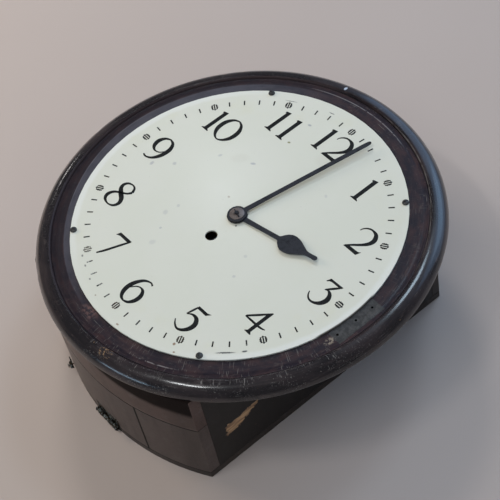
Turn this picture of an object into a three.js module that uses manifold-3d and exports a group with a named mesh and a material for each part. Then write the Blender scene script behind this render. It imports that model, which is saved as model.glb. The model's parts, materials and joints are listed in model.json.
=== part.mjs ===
// A 12-inch dial wall clock lying on its back: box case, turned surround, painted dial,
// and an eight-day going-barrel pendulum movement.
// Millimetres. The origin is on the dial axis at the back face; +Z out of the dial, +Y to 12.
import * as THREE from 'three';
import { mergeVertices } from 'three/addons/utils/BufferGeometryUtils.js';
import Module from 'manifold-3d';

const wasm = await Module();
wasm.setup();

// ---- driving dimensions -------------------------------------------------------------------

const GAP = 0.3;                       // clearance kept between pieces that meet
const DIAL = {
  radius: 152.4, face: 137, thick: 1.5, centreHole: 6.6,
  windingHole: 5.7, screwRing: 149.3, screwAngles: [321.9, 40.2, 141.6, 219.8],
};
const CASE = {
  halfWidth: 115.5, top: 129.2, wall: 9, backThick: 8, depth: 124.2,
  bowRadius: 221.5, bowCentre: 39.6,   // curved bottom, as seen from the front
  railBottom: 79, doorHalfWidth: 56, doorJoint: 0.8,
};
const RING = { inner: 112, outer: 170, flatTo: 164.6, front: 135.2, back: 124.5, lip: 133.8 };
const MOULD = { inner: 170.3, outer: 186.4, crown: 172.2, height: 12.4 };
const HINGE = {
  axisY: -183.6, axisZ: 8, radius: 2.6, pin: 1.1, start: -12, length: 32,   // starts at x = start
  leafFront: -181.7, leafBack: -179.9,
};
const CATCH = { x: -62.5, z: 16, radius: 4.6, bore: 1.6, screw: 1.2, clear: 0.8 };
const BATTEN = { inner: 92, halfLength: 90, bottom: 98 };  // inside the case, under the surround
const PEG = { radius: 3.4, z: 111, ys: [-62, 62] };
const WINDING_Y = -30.2;               // the winding arbor is straight below the centre
const PLATES = {
  halfWidth: 48, bottom: -64, top: 68, thick: 2.5, back: 78, front: 118,
  pillars: [[-42, -58], [42, -58], [-42, 60], [42, 60]],
};
const FEET = [[-43, -44], [43, -44], [-43, 46], [43, 46]];
const PIVOT_SLACK = 0.4;               // a pivot hole's radius over its pivot's

// Wheels and pinions: teeth and module of each meshing pair.
const GREAT = { teeth: 60, module: 0.864 };
const INTERMEDIATE = { pinion: 10, teeth: 50, module: 0.84 };
const CENTRE = { pinion: 10, teeth: 70, module: 0.628 };
const THIRD = { pinion: 7, teeth: 75, module: 0.5, angle: -35.4 };
const ESCAPE = { pinion: 6, teeth: 36, radius: 12.5 };
const CANNON = { teeth: 12, module: 0.625 };
const MINUTE_WHEEL = { teeth: 36, pinion: 10, pinionModule: 0.6, distance: 15, angle: 45 };
const HOUR_WHEEL = { teeth: 40 };
// One tooth's corners, as [radius over or under the pitch circle in modules, part of a pitch].
// The flanks are straight and the pinions' leaves thin, so that meshing pairs run free.
const WHEEL_TOOTH = [[-1.3, -0.5], [0.8, -0.07], [0.8, 0.07]];
const PINION_LEAF = [[-1.2, -0.15], [0.55, -0.09], [0.55, 0.09], [-1.2, 0.15]];
const RATCHET = { teeth: 24, tip: 10, root: 8.6 };
const CLICK = { angle: 60, reach: 10.6, arm: 12 };   // nose: clock angle and radius from the arbor

// Arbor positions that follow from the wheels' pitch circles.
const INTERMEDIATE_AT = meetingPoint(
  [0, WINDING_Y], (GREAT.module * (GREAT.teeth + INTERMEDIATE.pinion)) / 2,
  [0, 0], (INTERMEDIATE.module * (INTERMEDIATE.teeth + CENTRE.pinion)) / 2,
);
const THIRD_AT = clockPoint(THIRD.angle, (CENTRE.module * (CENTRE.teeth + THIRD.pinion)) / 2);
const ESCAPE_AT = [0, THIRD_AT[1]
  + Math.sqrt(((THIRD.module * (THIRD.teeth + ESCAPE.pinion)) / 2) ** 2 - THIRD_AT[0] ** 2)];
const MINUTE_AT = clockPoint(MINUTE_WHEEL.angle, MINUTE_WHEEL.distance);
const CLICK_AT = clickPoint([0, -0.4]);

const SWING_Y = 51.9;                  // pallet arbor and suspension point
const PALLETS = { from: 41, to: 50, reach: 13.4 };  // angles and radius round the escape wheel
const PENDULUM = { z: 60, bobY: -108, bobRadius: 27, bobThick: 14, rod: 1.5, tip: -147 };
const HOUR_HAND = { angle: 79.5, z: 138, thick: 0.8, hub: 9.4, bore: 4.9, slope: 0.0275 };
const MINUTE_HAND = {
  angle: 10.8, z: 139.6, thick: 0.9, hub: 8.9, bore: 3.2, length: 140, slope: 0.0227,
};
const ARBOR_TIP = 142.9;

// ---- materials ----------------------------------------------------------------------------

const paint = (color, roughness, metalness = 0) =>
  new THREE.MeshStandardMaterial({ color, roughness, metalness });
const ebonised = paint(0x2a2226, 0.3);
const darkWood = paint(0x3a2f2b, 0.5);
const innerWood = paint(0x6b5038, 0.8);
const dialPaint = paint(0xd9dccf, 0.45);
const blueSteel = paint(0x2b2e38, 0.35, 0.8);
const steel = paint(0x8d8f90, 0.35, 0.9);
const bronze = paint(0x4c4238, 0.5, 0.8);
const brass = paint(0xa88a48, 0.35, 0.9);
const oldBrass = paint(0x6c6a4f, 0.6, 0.7);

// ---- the scene graph ----------------------------------------------------------------------

const clock = new THREE.Group();

function add(name, geometry, material, place = [0, 0, 0]) {
  const mesh = new THREE.Mesh(geometry, material);
  mesh.name = name;
  mesh.position.set(...place);
  clock.add(mesh);
  return mesh;
}

// ---- solids: shapes from three.js, joined and cut with manifold ---------------------------

function toSolid(geometry) {
  const bare = geometry.clone();
  bare.deleteAttribute('normal');
  bare.deleteAttribute('uv');
  const merged = mergeVertices(bare, 1e-4);
  return new wasm.Manifold(new wasm.Mesh({
    numProp: 3,
    vertProperties: new Float32Array(merged.attributes.position.array),
    triVerts: new Uint32Array(merged.index.array),
  }));
}

function toGeometry(solid) {
  const mesh = solid.getMesh();
  const geometry = new THREE.BufferGeometry();
  geometry.setAttribute('position', new THREE.BufferAttribute(mesh.vertProperties, mesh.numProp));
  geometry.setIndex(new THREE.BufferAttribute(mesh.triVerts, 1));
  return geometry;
}

const join = (...parts) => toGeometry(parts.map(toSolid).reduce((a, b) => a.add(b)));
const cut = (body, ...tools) =>
  toGeometry(tools.map(toSolid).reduce((a, b) => a.subtract(b), toSolid(body)));

// A polygon with round or polygonal holes, extruded from z0 to z1.
function slab(points, z0, z1, holes = []) {
  const shape = new THREE.Shape(points.map(([x, y]) => new THREE.Vector2(x, y)));
  for (const hole of holes) {
    shape.holes.push(new THREE.Path(hole.map(([x, y]) => new THREE.Vector2(x, y))));
  }
  const geometry = new THREE.ExtrudeGeometry(shape, { depth: z1 - z0, bevelEnabled: false });
  return geometry.translate(0, 0, z0);
}

function ringPoints(radius, count, [x, y] = [0, 0], turn = 0) {
  return Array.from({ length: count }, (_, i) => {
    const angle = turn + (2 * Math.PI * i) / count;
    return [x + radius * Math.cos(angle), y + radius * Math.sin(angle)];
  });
}

const rectangle = (x0, x1, y0, y1) => [[x0, y0], [x1, y0], [x1, y1], [x0, y1]];
const plate = (x0, x1, y0, y1, z0, z1) => slab(rectangle(x0, x1, y0, y1), z0, z1);
const rod = (radius, z0, z1, at = [0, 0], sides = 12) =>
  slab(ringPoints(radius, sides, at), z0, z1);

// A closed profile of [radius, z] points turned about the Z axis.
function turned(profile, sides) {
  const closed = [...profile, profile[0]].map(([r, z]) => new THREE.Vector2(r, z));
  const geometry = new THREE.LatheGeometry(closed, sides).rotateX(Math.PI / 2);
  return toSolid(geometry).volume() > 0 ? geometry : flipped(geometry);
}

function flipped(geometry) {
  const index = geometry.index.array;
  for (let i = 0; i < index.length; i += 3) {
    [index[i], index[i + 1]] = [index[i + 1], index[i]];
  }
  return geometry;
}

// A point on the dial, by its angle clockwise from 12 in degrees and its radius.
function clockPoint(angle, radius) {
  const turn = THREE.MathUtils.degToRad(angle);
  return [radius * Math.sin(turn), radius * Math.cos(turn)];
}

// The right-hand point at distance ra from a (below) and rb from b (above it, same x).
function meetingPoint([, ya], ra, [xb, yb], rb) {
  const span = yb - ya;
  const y = ya + (ra * ra - rb * rb + span * span) / (2 * span);
  return [xb + Math.sqrt(ra * ra - (y - ya) ** 2), y];
}

// ---- case ---------------------------------------------------------------------------------

const bowY = (x, radius) => CASE.bowCentre - Math.sqrt(radius * radius - x * x);

// A piece of the curved bottom between x0 and x1.
function bowedStrip(x0, x1, z0, z1, steps) {
  const xs = Array.from({ length: steps + 1 }, (_, i) => x0 + ((x1 - x0) * i) / steps);
  const outer = xs.map((x) => [x, bowY(x, CASE.bowRadius)]);
  const inner = xs.map((x) => [x, bowY(x, CASE.bowRadius - CASE.wall)]).reverse();
  return slab([...outer, ...inner], z0, z1);
}

function addCase() {
  const { halfWidth, top, wall, backThick, depth, doorHalfWidth, doorJoint } = CASE;
  const wallBottom = backThick + GAP;
  const inside = halfWidth - wall;

  const edge = Array.from({ length: 25 }, (_, i) => {
    const x = -halfWidth + (2 * halfWidth * i) / 24;
    return [x, bowY(x, CASE.bowRadius)];
  });
  const outline = [...edge, [halfWidth, top], [-halfWidth, top]];
  const hangerRecess = plate(-22 - GAP, 22 + GAP, 96 - GAP, top + 1, -1, 2 + GAP);
  const hingeRecess = hingeSink(-1, backThick + 1);
  add('back_board', cut(slab(outline, 0, backThick), hangerRecess, hingeRecess), darkWood);

  add('case_top', plate(-halfWidth, halfWidth, top - wall, top, wallBottom, depth), darkWood);
  for (const [name, side] of [['case_side_left', -1], ['case_side_right', 1]]) {
    const end = [inside, inside + wall / 2, halfWidth]
      .map((x) => [side * x, bowY(x, CASE.bowRadius - wall) + GAP]);
    const board = [...end, [side * halfWidth, top - wall - GAP], [side * inside, top - wall - GAP]];
    const points = side > 0 ? board : board.reverse();
    const pegHoles = PEG.ys.map((y) => rodAlongX(PEG.radius + GAP, side * (inside - 1),
      side * (halfWidth + 1), y, PEG.z));
    add(name, cut(slab(points, wallBottom, depth), ...pegHoles), darkWood);
  }

  const jointX = doorHalfWidth + doorJoint;
  const fixedTop = CASE.railBottom - GAP;
  const left = bowedStrip(-halfWidth, -jointX, wallBottom, fixedTop, 8);
  add('case_bottom_left', cut(left, catchFrame(rod(1.2 + GAP, -9, 2))), darkWood);
  add('case_bottom_right', bowedStrip(jointX, halfWidth, wallBottom, fixedTop, 8), darkWood);
  add('case_bottom_rail',
    bowedStrip(-halfWidth, halfWidth, CASE.railBottom, depth, 20), darkWood);
  addDoor();
}

// The sinking that the hinge's leaves lie in.
function hingeSink(z0, z1) {
  const { start, length } = HINGE;
  return plate(start - GAP, start + length + GAP, HINGE.axisY - 4, HINGE.leafBack + GAP, z0, z1);
}

// The door's top edge is bevelled so that it passes under the rail as it swings out.
function addDoor() {
  const { backThick, railBottom, doorHalfWidth } = CASE;
  const bevel = plate(-80, 80, -60, 60, 0, 20).rotateX(THREE.MathUtils.degToRad(-7.4))
    .translate(0, HINGE.axisY + 1.8, railBottom - 0.6);
  const leafRecess = hingeSink(backThick, backThick + 12.4);
  const slabDoor = bowedStrip(-doorHalfWidth, doorHalfWidth, backThick + GAP, railBottom, 14);
  add('bottom_door', cut(slabDoor, bevel, leafRecess), darkWood);

  // Butt hinge: three knuckles along X, outside the wall, and two leaves.
  const { axisY, axisZ, radius, pin, start, length, leafFront, leafBack } = HINGE;
  const end = start + length;
  const [first, second] = [start + length / 3, start + (2 * length) / 3];   // the knuckles' joints
  const knuckle = (x0, x1) => rodAlongX(radius, x0, x1, axisY, axisZ);
  const bore = rodAlongX(pin + GAP, start - 1, end + 1, axisY, axisZ);
  const caseLeaf = join(plate(start, end, leafFront, leafBack, 1.2, axisZ - 0.4),
    knuckle(start, first - 0.2), knuckle(second + 0.2, end));
  const doorLeaf = join(plate(start, end, leafFront, leafBack, axisZ + 0.4, axisZ + 12),
    knuckle(first + 0.2, second - 0.2));
  const clearMiddle = rodAlongX(radius + GAP, first - 0.2, second + 0.2, axisY, axisZ);
  const clearEnds = [[start - 1, first + 0.2], [second - 0.2, end + 1]]
    .map(([x0, x1]) => rodAlongX(radius + GAP, x0, x1, axisY, axisZ));
  add('hinge_case_leaf', cut(caseLeaf, clearMiddle, bore), oldBrass);
  add('hinge_door_leaf', cut(doorLeaf, ...clearEnds, bore), oldBrass);
  add('hinge_pin', rodAlongX(pin, start - 0.6, end + 0.6, axisY, axisZ), oldBrass);
}

function rodAlongX(radius, x0, x1, y, z, sides = 12) {
  const [low, high] = x0 < x1 ? [x0, x1] : [x1, x0];
  return rod(radius, low, high, [0, 0], sides).rotateY(Math.PI / 2).translate(0, y, z);
}

// Turn-button beside the door: a round head and a short finger. It is drawn turned away from
// the door; a quarter turn brings the finger over the door's edge.
function addCatch() {
  const { screw, bore, radius, clear } = CATCH;
  const head = turned([[bore, clear], [radius, clear], [radius, 3.4], [radius - 1, 4.6],
    [bore, 4.6]], 16);
  const finger = plate(-2.2, 2.2, 2.4, 11, clear, 2.4);
  add('door_catch', catchFrame(join(head, finger)), oldBrass);
  add('door_catch_screw', catchFrame(turned([[0, -8], [screw, -8], [screw, 4.9],
    [screw + 1.4, 4.9], [screw + 1, 5.8], [0, 6]], 12)), oldBrass);
}

// Moves a piece drawn about +Z to the catch's place on the curved wall: +Z becomes the wall's
// outward normal, +X runs along the wall towards the door and +Y towards the dial.
function catchFrame(geometry) {
  const { x, z } = CATCH;
  const y = bowY(x, CASE.bowRadius);
  const outward = new THREE.Vector3(x, y - CASE.bowCentre, 0).normalize();
  const along = new THREE.Vector3(-outward.y, outward.x, 0);
  const across = new THREE.Vector3().crossVectors(outward, along);
  const frame = new THREE.Matrix4().makeBasis(along, across, outward).setPosition(x, y, z);
  return geometry.applyMatrix4(frame);
}

function addSurround() {
  const { inner, outer, flatTo, front, back, lip } = RING;
  const ring = turned([[inner, back], [outer, back], [outer, lip], [flatTo, front],
    [inner, front]], 60);
  const dialHoles = DIAL.screwAngles
    .map((angle) => rod(1.9, front - 11, front + 1, clockPoint(angle, DIAL.screwRing), 10));
  const bezelHingeHoles = [18.4, 0, -20.6].map((y) => rod(1.3, front - 6, front + 1, [157.5, y], 8));
  add('surround_ring', cut(ring, ...dialHoles, ...bezelHingeHoles), ebonised);

  const arc = [];
  const innerRise = (front - lip) + 1.7;
  for (let i = 0; i <= 6; i += 1) {
    const turn = (Math.PI / 2) * (i / 6);
    arc.push([MOULD.crown + (MOULD.outer - MOULD.crown) * Math.cos(turn),
      back + MOULD.height * Math.sin(turn)]);
  }
  for (let i = 1; i <= 2; i += 1) {
    const turn = (Math.PI / 2) * (i / 2);
    arc.push([MOULD.crown - (MOULD.crown - MOULD.inner) * Math.sin(turn),
      back + MOULD.height - innerRise * (1 - Math.cos(turn))]);
  }
  add('surround_moulding', turned([[MOULD.inner, back], ...arc], 60), ebonised);

  const inside = CASE.halfWidth - CASE.wall;
  for (const [name, side] of [['surround_batten_left', -1], ['surround_batten_right', 1]]) {
    const [x0, x1] = [side * BATTEN.inner, side * (inside - GAP)].sort((a, b) => a - b);
    const holes = PEG.ys.map((y) => rodAlongX(PEG.radius - 0.2 + GAP, side * (BATTEN.inner + 3),
      side * inside, y, PEG.z));
    const bar = plate(x0, x1, -BATTEN.halfLength, BATTEN.halfLength, BATTEN.bottom, back - GAP);
    add(name, cut(bar, ...holes), innerWood);
    PEG.ys.forEach((y, i) => {
      const peg = turned([[0, 0], [PEG.radius - 0.3, 0], [PEG.radius, 18.5], [PEG.radius - 0.8, 19.4],
        [0, 19.6]], 10).rotateY(side * (Math.PI / 2)).translate(side * (inside - 8.6), y, PEG.z);
      add(`case_peg_${(side < 0 ? 1 : 3) + i}`, peg, innerWood);
    });
  }
}

function addHangingPlate() {
  const outline = [[-22, 96], [22, 96], [22, 118], [15, 134], [15, 146], [9, 152], [-9, 152],
    [-15, 146], [-15, 134], [-22, 118]];
  const hook = ringPoints(5, 20, [0, 141]);
  const screwHoles = [-14, 14].map((x) => ringPoints(2, 10, [x, 106]));
  add('hanging_plate', slab(outline, 0, 2, [hook, ...screwHoles]), brass);
}

// ---- dial and its screws ------------------------------------------------------------------

function addDial() {
  const { radius, face, thick, centreHole, windingHole, screwRing, screwAngles } = DIAL;
  const back = face - thick;
  const holes = [ringPoints(centreHole, 24), ringPoints(windingHole, 20, [0, WINDING_Y]),
    ...screwAngles.map((angle) => ringPoints(1.9, 10, clockPoint(angle, screwRing)))];
  const disc = slab(ringPoints(radius, 72), back, face, holes);
  const feet = FEET.flatMap((at) => [
    rod(2.6, PLATES.front + PLATES.thick + GAP, back + 0.2, at, 8),
    rod(1.5, PLATES.front - 4, PLATES.front + PLATES.thick + 1, at, 8),
  ]);
  add('dial_plate', join(disc, ...feet), dialPaint);
  screwAngles.forEach((angle, i) => {
    const head = turned([[0, -9], [1.4, -8], [1.4, GAP], [3.2, GAP], [2.9, 1.3], [1.6, 2], [0, 2.2]], 12);
    const slot = plate(-4, 4, -0.4, 0.4, 1.4, 3).rotateZ(i + 0.4);
    add(`dial_screw_${i + 1}`, cut(head, slot), bronze, [...clockPoint(angle, screwRing), face]);
  });
}

// ---- movement frame -----------------------------------------------------------------------

function addFrame() {
  const { halfWidth, bottom, top, thick, back, front, pillars } = PLATES;
  const outline = rectangle(-halfWidth, halfWidth, bottom, top);
  const pillarHoles = pillars.map((at) => ringPoints(2.4, 10, at));
  const pivotHoles = (centreRadius, barrelRadius) => [
    ringPoints(centreRadius, 10), ringPoints(barrelRadius, 12, [0, WINDING_Y]),
    ...[INTERMEDIATE_AT, THIRD_AT].map((at) => ringPoints(1 + PIVOT_SLACK, 8, at)),
    ringPoints(0.7 + PIVOT_SLACK, 8, ESCAPE_AT),
  ];
  add('back_plate', slab(outline, back, back + thick, [...pillarHoles,
    ...pivotHoles(1 + PIVOT_SLACK, 2.2 + PIVOT_SLACK), ringPoints(3, 12, [0, SWING_Y])]), brass);
  add('front_plate', slab(outline, front, front + thick, [...pillarHoles,
    ...pivotHoles(1.8 + PIVOT_SLACK, 3 + PIVOT_SLACK), ringPoints(1 + PIVOT_SLACK, 8, [0, SWING_Y]),
    ringPoints(1 + PIVOT_SLACK, 8, MINUTE_AT), ringPoints(1.1 + PIVOT_SLACK, 8, CLICK_AT),
    ...FEET.map((at) => ringPoints(1.9, 8, at))]), brass);
  const low = back + thick + GAP;
  pillars.forEach((at, i) => {
    const profile = [[0, back - 1.4], [2, back - 1.4], [2, low], [3.8, low], [2.9, low + 5],
      [2.9, front - GAP - 5], [3.8, front - GAP], [2, front - GAP], [2, front + thick + 1.4],
      [0, front + thick + 1.4]];
    add(`pillar_${i + 1}`, turned(profile, 10), brass, [...at, 0]);
  });
}

// ---- wheels -------------------------------------------------------------------------------

function toothedOutline(teeth, module, turn, tooth = WHEEL_TOOTH) {
  const step = (2 * Math.PI) / teeth;
  return Array.from({ length: teeth }, (_, i) => tooth.map(([height, part]) => {
    const radius = module * (teeth / 2 + height);
    const angle = turn + (i + part) * step;
    return [radius * Math.cos(angle), radius * Math.sin(angle)];
  })).flat();
}

// Four openings between a wheel's hub and rim, leaving four arms.
function crossings(hub, rim) {
  return [0, 1, 2, 3].map((quarter) => {
    const middle = (quarter + 0.5) * (Math.PI / 2);
    const outer = [-0.62, -0.21, 0.21, 0.62].map((a) => [rim, middle + a]);
    const inner = [0.42, -0.42].map((a) => [hub, middle + a]);
    return [...outer, ...inner].map(([r, a]) => [r * Math.cos(a), r * Math.sin(a)]);
  });
}

const direction = ([ax, ay], [bx, by]) => Math.atan2(by - ay, bx - ax);
// A driver shows a tooth towards its partner; the partner shows it the middle of a gap.
const gapTowards = (angle, teeth) => angle + Math.PI / teeth;

function pinionPart(teeth, module, turn, z0, z1) {
  return slab(toothedOutline(teeth, module, turn, PINION_LEAF), z0, z1);
}

function wheelPart(teeth, module, turn, z0, z1, { bore, hub, rim } = {}) {
  const holes = bore ? [ringPoints(bore, 16)] : [];
  if (rim) holes.push(...crossings(hub, rim));
  return slab(toothedOutline(teeth, module, turn), z0, z1, holes);
}

function addTrain() {
  const zBack = PLATES.back;
  const zFront = PLATES.front + PLATES.thick;
  const barrelAt = [0, WINDING_Y];
  const towardsIntermediate = direction(barrelAt, INTERMEDIATE_AT);

  // Going barrel: great wheel and drum in one, open at the front, closed by its cap.
  const drum = [[3.4, 84], [22, 84], [22, 101], [20.4, 101], [20.4, 88.6], [3.4, 88.6]];
  const great = wheelPart(GREAT.teeth, GREAT.module, towardsIntermediate, 84, 87, { bore: 3.4 });
  add('barrel', join(great, turned(drum, 28)), brass, [...barrelAt, 0]);
  add('barrel_cap', slab(ringPoints(21.8, 28), 101 + GAP, 102.6, [ringPoints(3.4, 16)]), brass,
    [...barrelAt, 0]);
  const arborProfile = [[0, zBack - 1.2], [2.2, zBack - 1.2], [2.2, zBack + 2.9], [3, zBack + 2.9],
    [3, 89.2], [5, 89.2], [5, 100.6], [3, 100.6], [3, zFront], [0, zFront]];
  const square = slab(ringPoints(3.05, 4, [0, 0], Math.PI / 4), zFront - 1, 129);
  add('barrel_arbor', join(turned(arborProfile, 16), square), steel, [...barrelAt, 0]);
  add('mainspring', slab(spiral(5.6, 19.4, 5, 0.55), 89.4, 100.4), steel, [...barrelAt, 0]);
  add('ratchet_wheel', slab(ratchetOutline(), zFront + GAP, zFront + 2.8,
    [ringPoints(3.05 + 0.45, 4, [0, 0], Math.PI / 4)]), steel, [...barrelAt, 0]);

  const towardsCentre = direction(INTERMEDIATE_AT, [0, 0]);
  add('intermediate_wheel', join(
    rod(1, zBack - 0.6, zFront + 0.4), rod(1.6, zBack + 2.9, PLATES.front - 0.4),
    pinionPart(INTERMEDIATE.pinion, GREAT.module,
      gapTowards(towardsIntermediate + Math.PI, INTERMEDIATE.pinion), 82.6, 88.6),
    rod(3.2, 102.6, 106.4),
    wheelPart(INTERMEDIATE.teeth, INTERMEDIATE.module, towardsCentre, 103.5, 105.5,
      { bore: 1.2, hub: 5, rim: 16.5 }),
  ), brass, [...INTERMEDIATE_AT, 0]);

  const towardsThird = direction([0, 0], THIRD_AT);
  add('centre_arbor', join(
    rod(1, zBack - 0.6, zBack + 4), rod(1.8, zBack + 2.9, ARBOR_TIP),
    pinionPart(CENTRE.pinion, INTERMEDIATE.module,
      gapTowards(towardsCentre + Math.PI, CENTRE.pinion), 102.8, 106.2),
    rod(3.4, 107, 111),
  ), steel);
  add('centre_wheel', wheelPart(CENTRE.teeth, CENTRE.module, towardsThird, 108, 110,
    { bore: 3.4 + GAP, hub: 6.2, rim: 17.5 }), brass);

  const towardsEscape = direction(THIRD_AT, ESCAPE_AT);
  add('third_wheel', join(
    rod(1, zBack - 0.6, zFront + 0.4), rod(1.3, zBack + 2.9, PLATES.front - 0.4),
    pinionPart(THIRD.pinion, CENTRE.module,
      gapTowards(towardsThird + Math.PI, THIRD.pinion), 106.8, 111.2),
    rod(2.8, 112.2, 115.6),
    wheelPart(THIRD.teeth, THIRD.module, towardsEscape, 113, 114.8,
      { bore: 1.1, hub: 4.4, rim: 15 }),
  ), brass, [...THIRD_AT, 0]);
  add('escape_wheel', join(
    rod(0.7, zBack - 0.6, zFront + 0.4, [0, 0], 12), rod(0.95, zBack + 2.9, PLATES.front - 0.4, [0, 0], 12),
    pinionPart(ESCAPE.pinion, THIRD.module,
      gapTowards(towardsEscape + Math.PI, ESCAPE.pinion), 112, 116),
    rod(2.4, 89, 92.6),
    slab(escapeOutline(), 90, 91.4, [ringPoints(0.8, 10), ...crossings(3.6, 9)]),
  ), brass, [...ESCAPE_AT, 0]);
}

// A strip wound from the inner to the outer radius.
function spiral(inner, outer, turns, thick) {
  const steps = turns * 15;
  const line = (offset) => Array.from({ length: steps + 1 }, (_, i) => {
    const radius = inner + ((outer - inner) * i) / steps + offset;
    const angle = (2 * Math.PI * turns * i) / steps;
    return [radius * Math.cos(angle), radius * Math.sin(angle)];
  });
  return [...line(thick / 2), ...line(-thick / 2).reverse()];
}

// The teeth's steep faces look counter-clockwise, so the square can only be wound clockwise.
function ratchetOutline() {
  const step = (2 * Math.PI) / RATCHET.teeth;
  return Array.from({ length: RATCHET.teeth }, (_, i) => [[RATCHET.root, i * step],
    [RATCHET.tip, (i + 1) * step - 0.04]])
    .flat().map(([r, a]) => [r * Math.cos(a), r * Math.sin(a)]);
}

function escapeOutline() {
  const step = (2 * Math.PI) / ESCAPE.teeth;
  const root = ESCAPE.radius - 2.2;
  return Array.from({ length: ESCAPE.teeth }, (_, i) => [[root, i * step],
    [ESCAPE.radius, (i + 0.36) * step], [ESCAPE.radius, (i + 0.44) * step]])
    .flat().map(([r, a]) => [r * Math.cos(a), r * Math.sin(a)]);
}

// Places a point given along the click's arm, from its pivot, and in towards the ratchet.
function clickPoint([along, inward]) {
  const [outX, outY] = clockPoint(CLICK.angle, 1);
  const nose = [outX * CLICK.reach, WINDING_Y + outY * CLICK.reach];
  const back = along - CLICK.arm;
  return [nose[0] + back * outY - inward * outX, nose[1] - back * outX - inward * outY];
}

// The nose stops just outside the ratchet's tips, so that the wheel turns freely.
function addClick() {
  const z0 = PLATES.front + PLATES.thick + GAP;
  const z1 = z0 + 2.2;
  const arm = [[-2.8, 0], [-2.2, 1.2], [0, 2.2], [2.4, 1.2], [6, 0], [10.4, -1], [12, 0],
    [12.2, -1.4], [11, -2.6], [6, -2.8], [2.4, -2.8], [0, -3.2], [-2.2, -2.4]];
  const pivot = rod(1.1, PLATES.front + 0.4, z1 + 0.8, CLICK_AT, 12);
  add('click', join(slab(arm.map(clickPoint), z0, z1), pivot), steel);
  const leaf = [[3.2, -4.3], [3.6, -4.1], [5.8, -7.4], [8.4, -10.2], [8, -10.8], [5.2, -7.8]];
  const foot = [[7, -9.4], [11.5, -9.4], [11.5, -14], [7, -14]];
  add('click_spring', join(slab(leaf.map(clickPoint), z0, z1), slab(foot.map(clickPoint), z0, z1)),
    brass);
}

// ---- escapement and pendulum --------------------------------------------------------------

function addEscapement() {
  // Each half runs from the arbor to a pallet held just outside the escape wheel's tips.
  const rise = SWING_Y - ESCAPE_AT[1];
  const half = (side) => {
    const [x, y] = clockPoint(side * PALLETS.from, PALLETS.reach);
    const [x2, y2] = clockPoint(side * PALLETS.to, PALLETS.reach);
    return [[x, y], [x2, y2], [x2 + side * 2.2, y2 + 2.6], [side * 9, rise - 4.4],
      [side * 2, rise + 3.4], [0, rise + 3.6], [0, rise - 2.2], [side * 6.4, rise - 5.4]]
      .map(([px, py]) => [px, py + ESCAPE_AT[1]]);
  };
  const right = half(1);
  const left = half(-1).reverse();
  add('anchor', join(slab(right, 89.6, 91.8), slab(left, 89.6, 91.8),
    rod(1, 64.4, PLATES.front + 2, [0, SWING_Y], 12), rod(1.5, 68, 116, [0, SWING_Y], 12)), steel);

  const forkY = 17;
  const bar = cut(plate(-2, 2, forkY - 2, SWING_Y + 4, 70, 71.6), rod(1.8, 69, 73, [0, SWING_Y], 12));
  const boss = slab(ringPoints(4, 16, [0, SWING_Y]), 70, 74, [ringPoints(1.8, 12, [0, SWING_Y])]);
  const tines = [-1, 1].map((side) => {
    const [x0, x1] = [side * 2.1, side * 3.5].sort((a, b) => a - b);
    return plate(x0, x1, forkY - 2, forkY + 2, PENDULUM.z - 3, 71.6);
  });
  const bridge = plate(-3.5, 3.5, forkY - 2, forkY + 2, 70, 71.6);
  add('crutch', join(bar, boss, bridge, ...tines), brass);

  const crossbar = plate(-16, 16, 56, 66, 55, 65);
  const legs = [-1, 1].map((side) => {
    const [x0, x1] = [side * 13, side * 17].sort((a, b) => a - b);
    return plate(x0, x1, 46, 66, 55, PLATES.back - GAP);
  });
  const strap = plate(-16, 16, 48, 57, 64.9, 67);
  const springSlot = plate(-5.2, 5.2, 50, 63.4, PENDULUM.z - 1, PENDULUM.z + 1);
  const pivotHole = rod(1 + PIVOT_SLACK, 60, 70, [0, SWING_Y], 12);
  add('pendulum_cock', cut(join(crossbar, ...legs, strap), springSlot, pivotHole), brass);
}

function addPendulum() {
  const { z, bobY, bobRadius, bobThick, rod: rodRadius, tip } = PENDULUM;
  add('suspension_spring', plate(-4, 4, 44, 62.6, z - 0.25, z + 0.25), steel);
  const alongY = (radius, y0, y1, sides = 14) => rod(radius, y0, y1, [0, 0], sides)
    .rotateX(-Math.PI / 2).translate(0, 0, z);
  add('pendulum_rod', join(alongY(rodRadius, tip, 38), plate(-5, 5, 36, 44 - GAP, z - 2, z + 2)), steel);

  const lens = [];
  for (let i = 0; i <= 4; i += 1) {
    const turn = (Math.PI / 2) * (i / 4);
    lens.push([bobRadius * Math.sin(turn), -(bobThick / 2 - 1) * Math.cos(turn) - 1]);
  }
  const profile = [...lens, ...lens.map(([r, h]) => [r, -h]).reverse()];
  const bob = turned(profile, 28).translate(0, bobY, z);
  add('pendulum_bob', cut(bob, alongY(rodRadius + 0.4, bobY - 40, bobY + 40)), brass);
  const nut = cut(alongY(6, bobY - bobRadius - 6, bobY - bobRadius - 1, 20),
    alongY(rodRadius + GAP, bobY - 60, bobY));
  add('rating_nut', nut, brass);
}

// ---- motion work and hands ----------------------------------------------------------------

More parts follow.
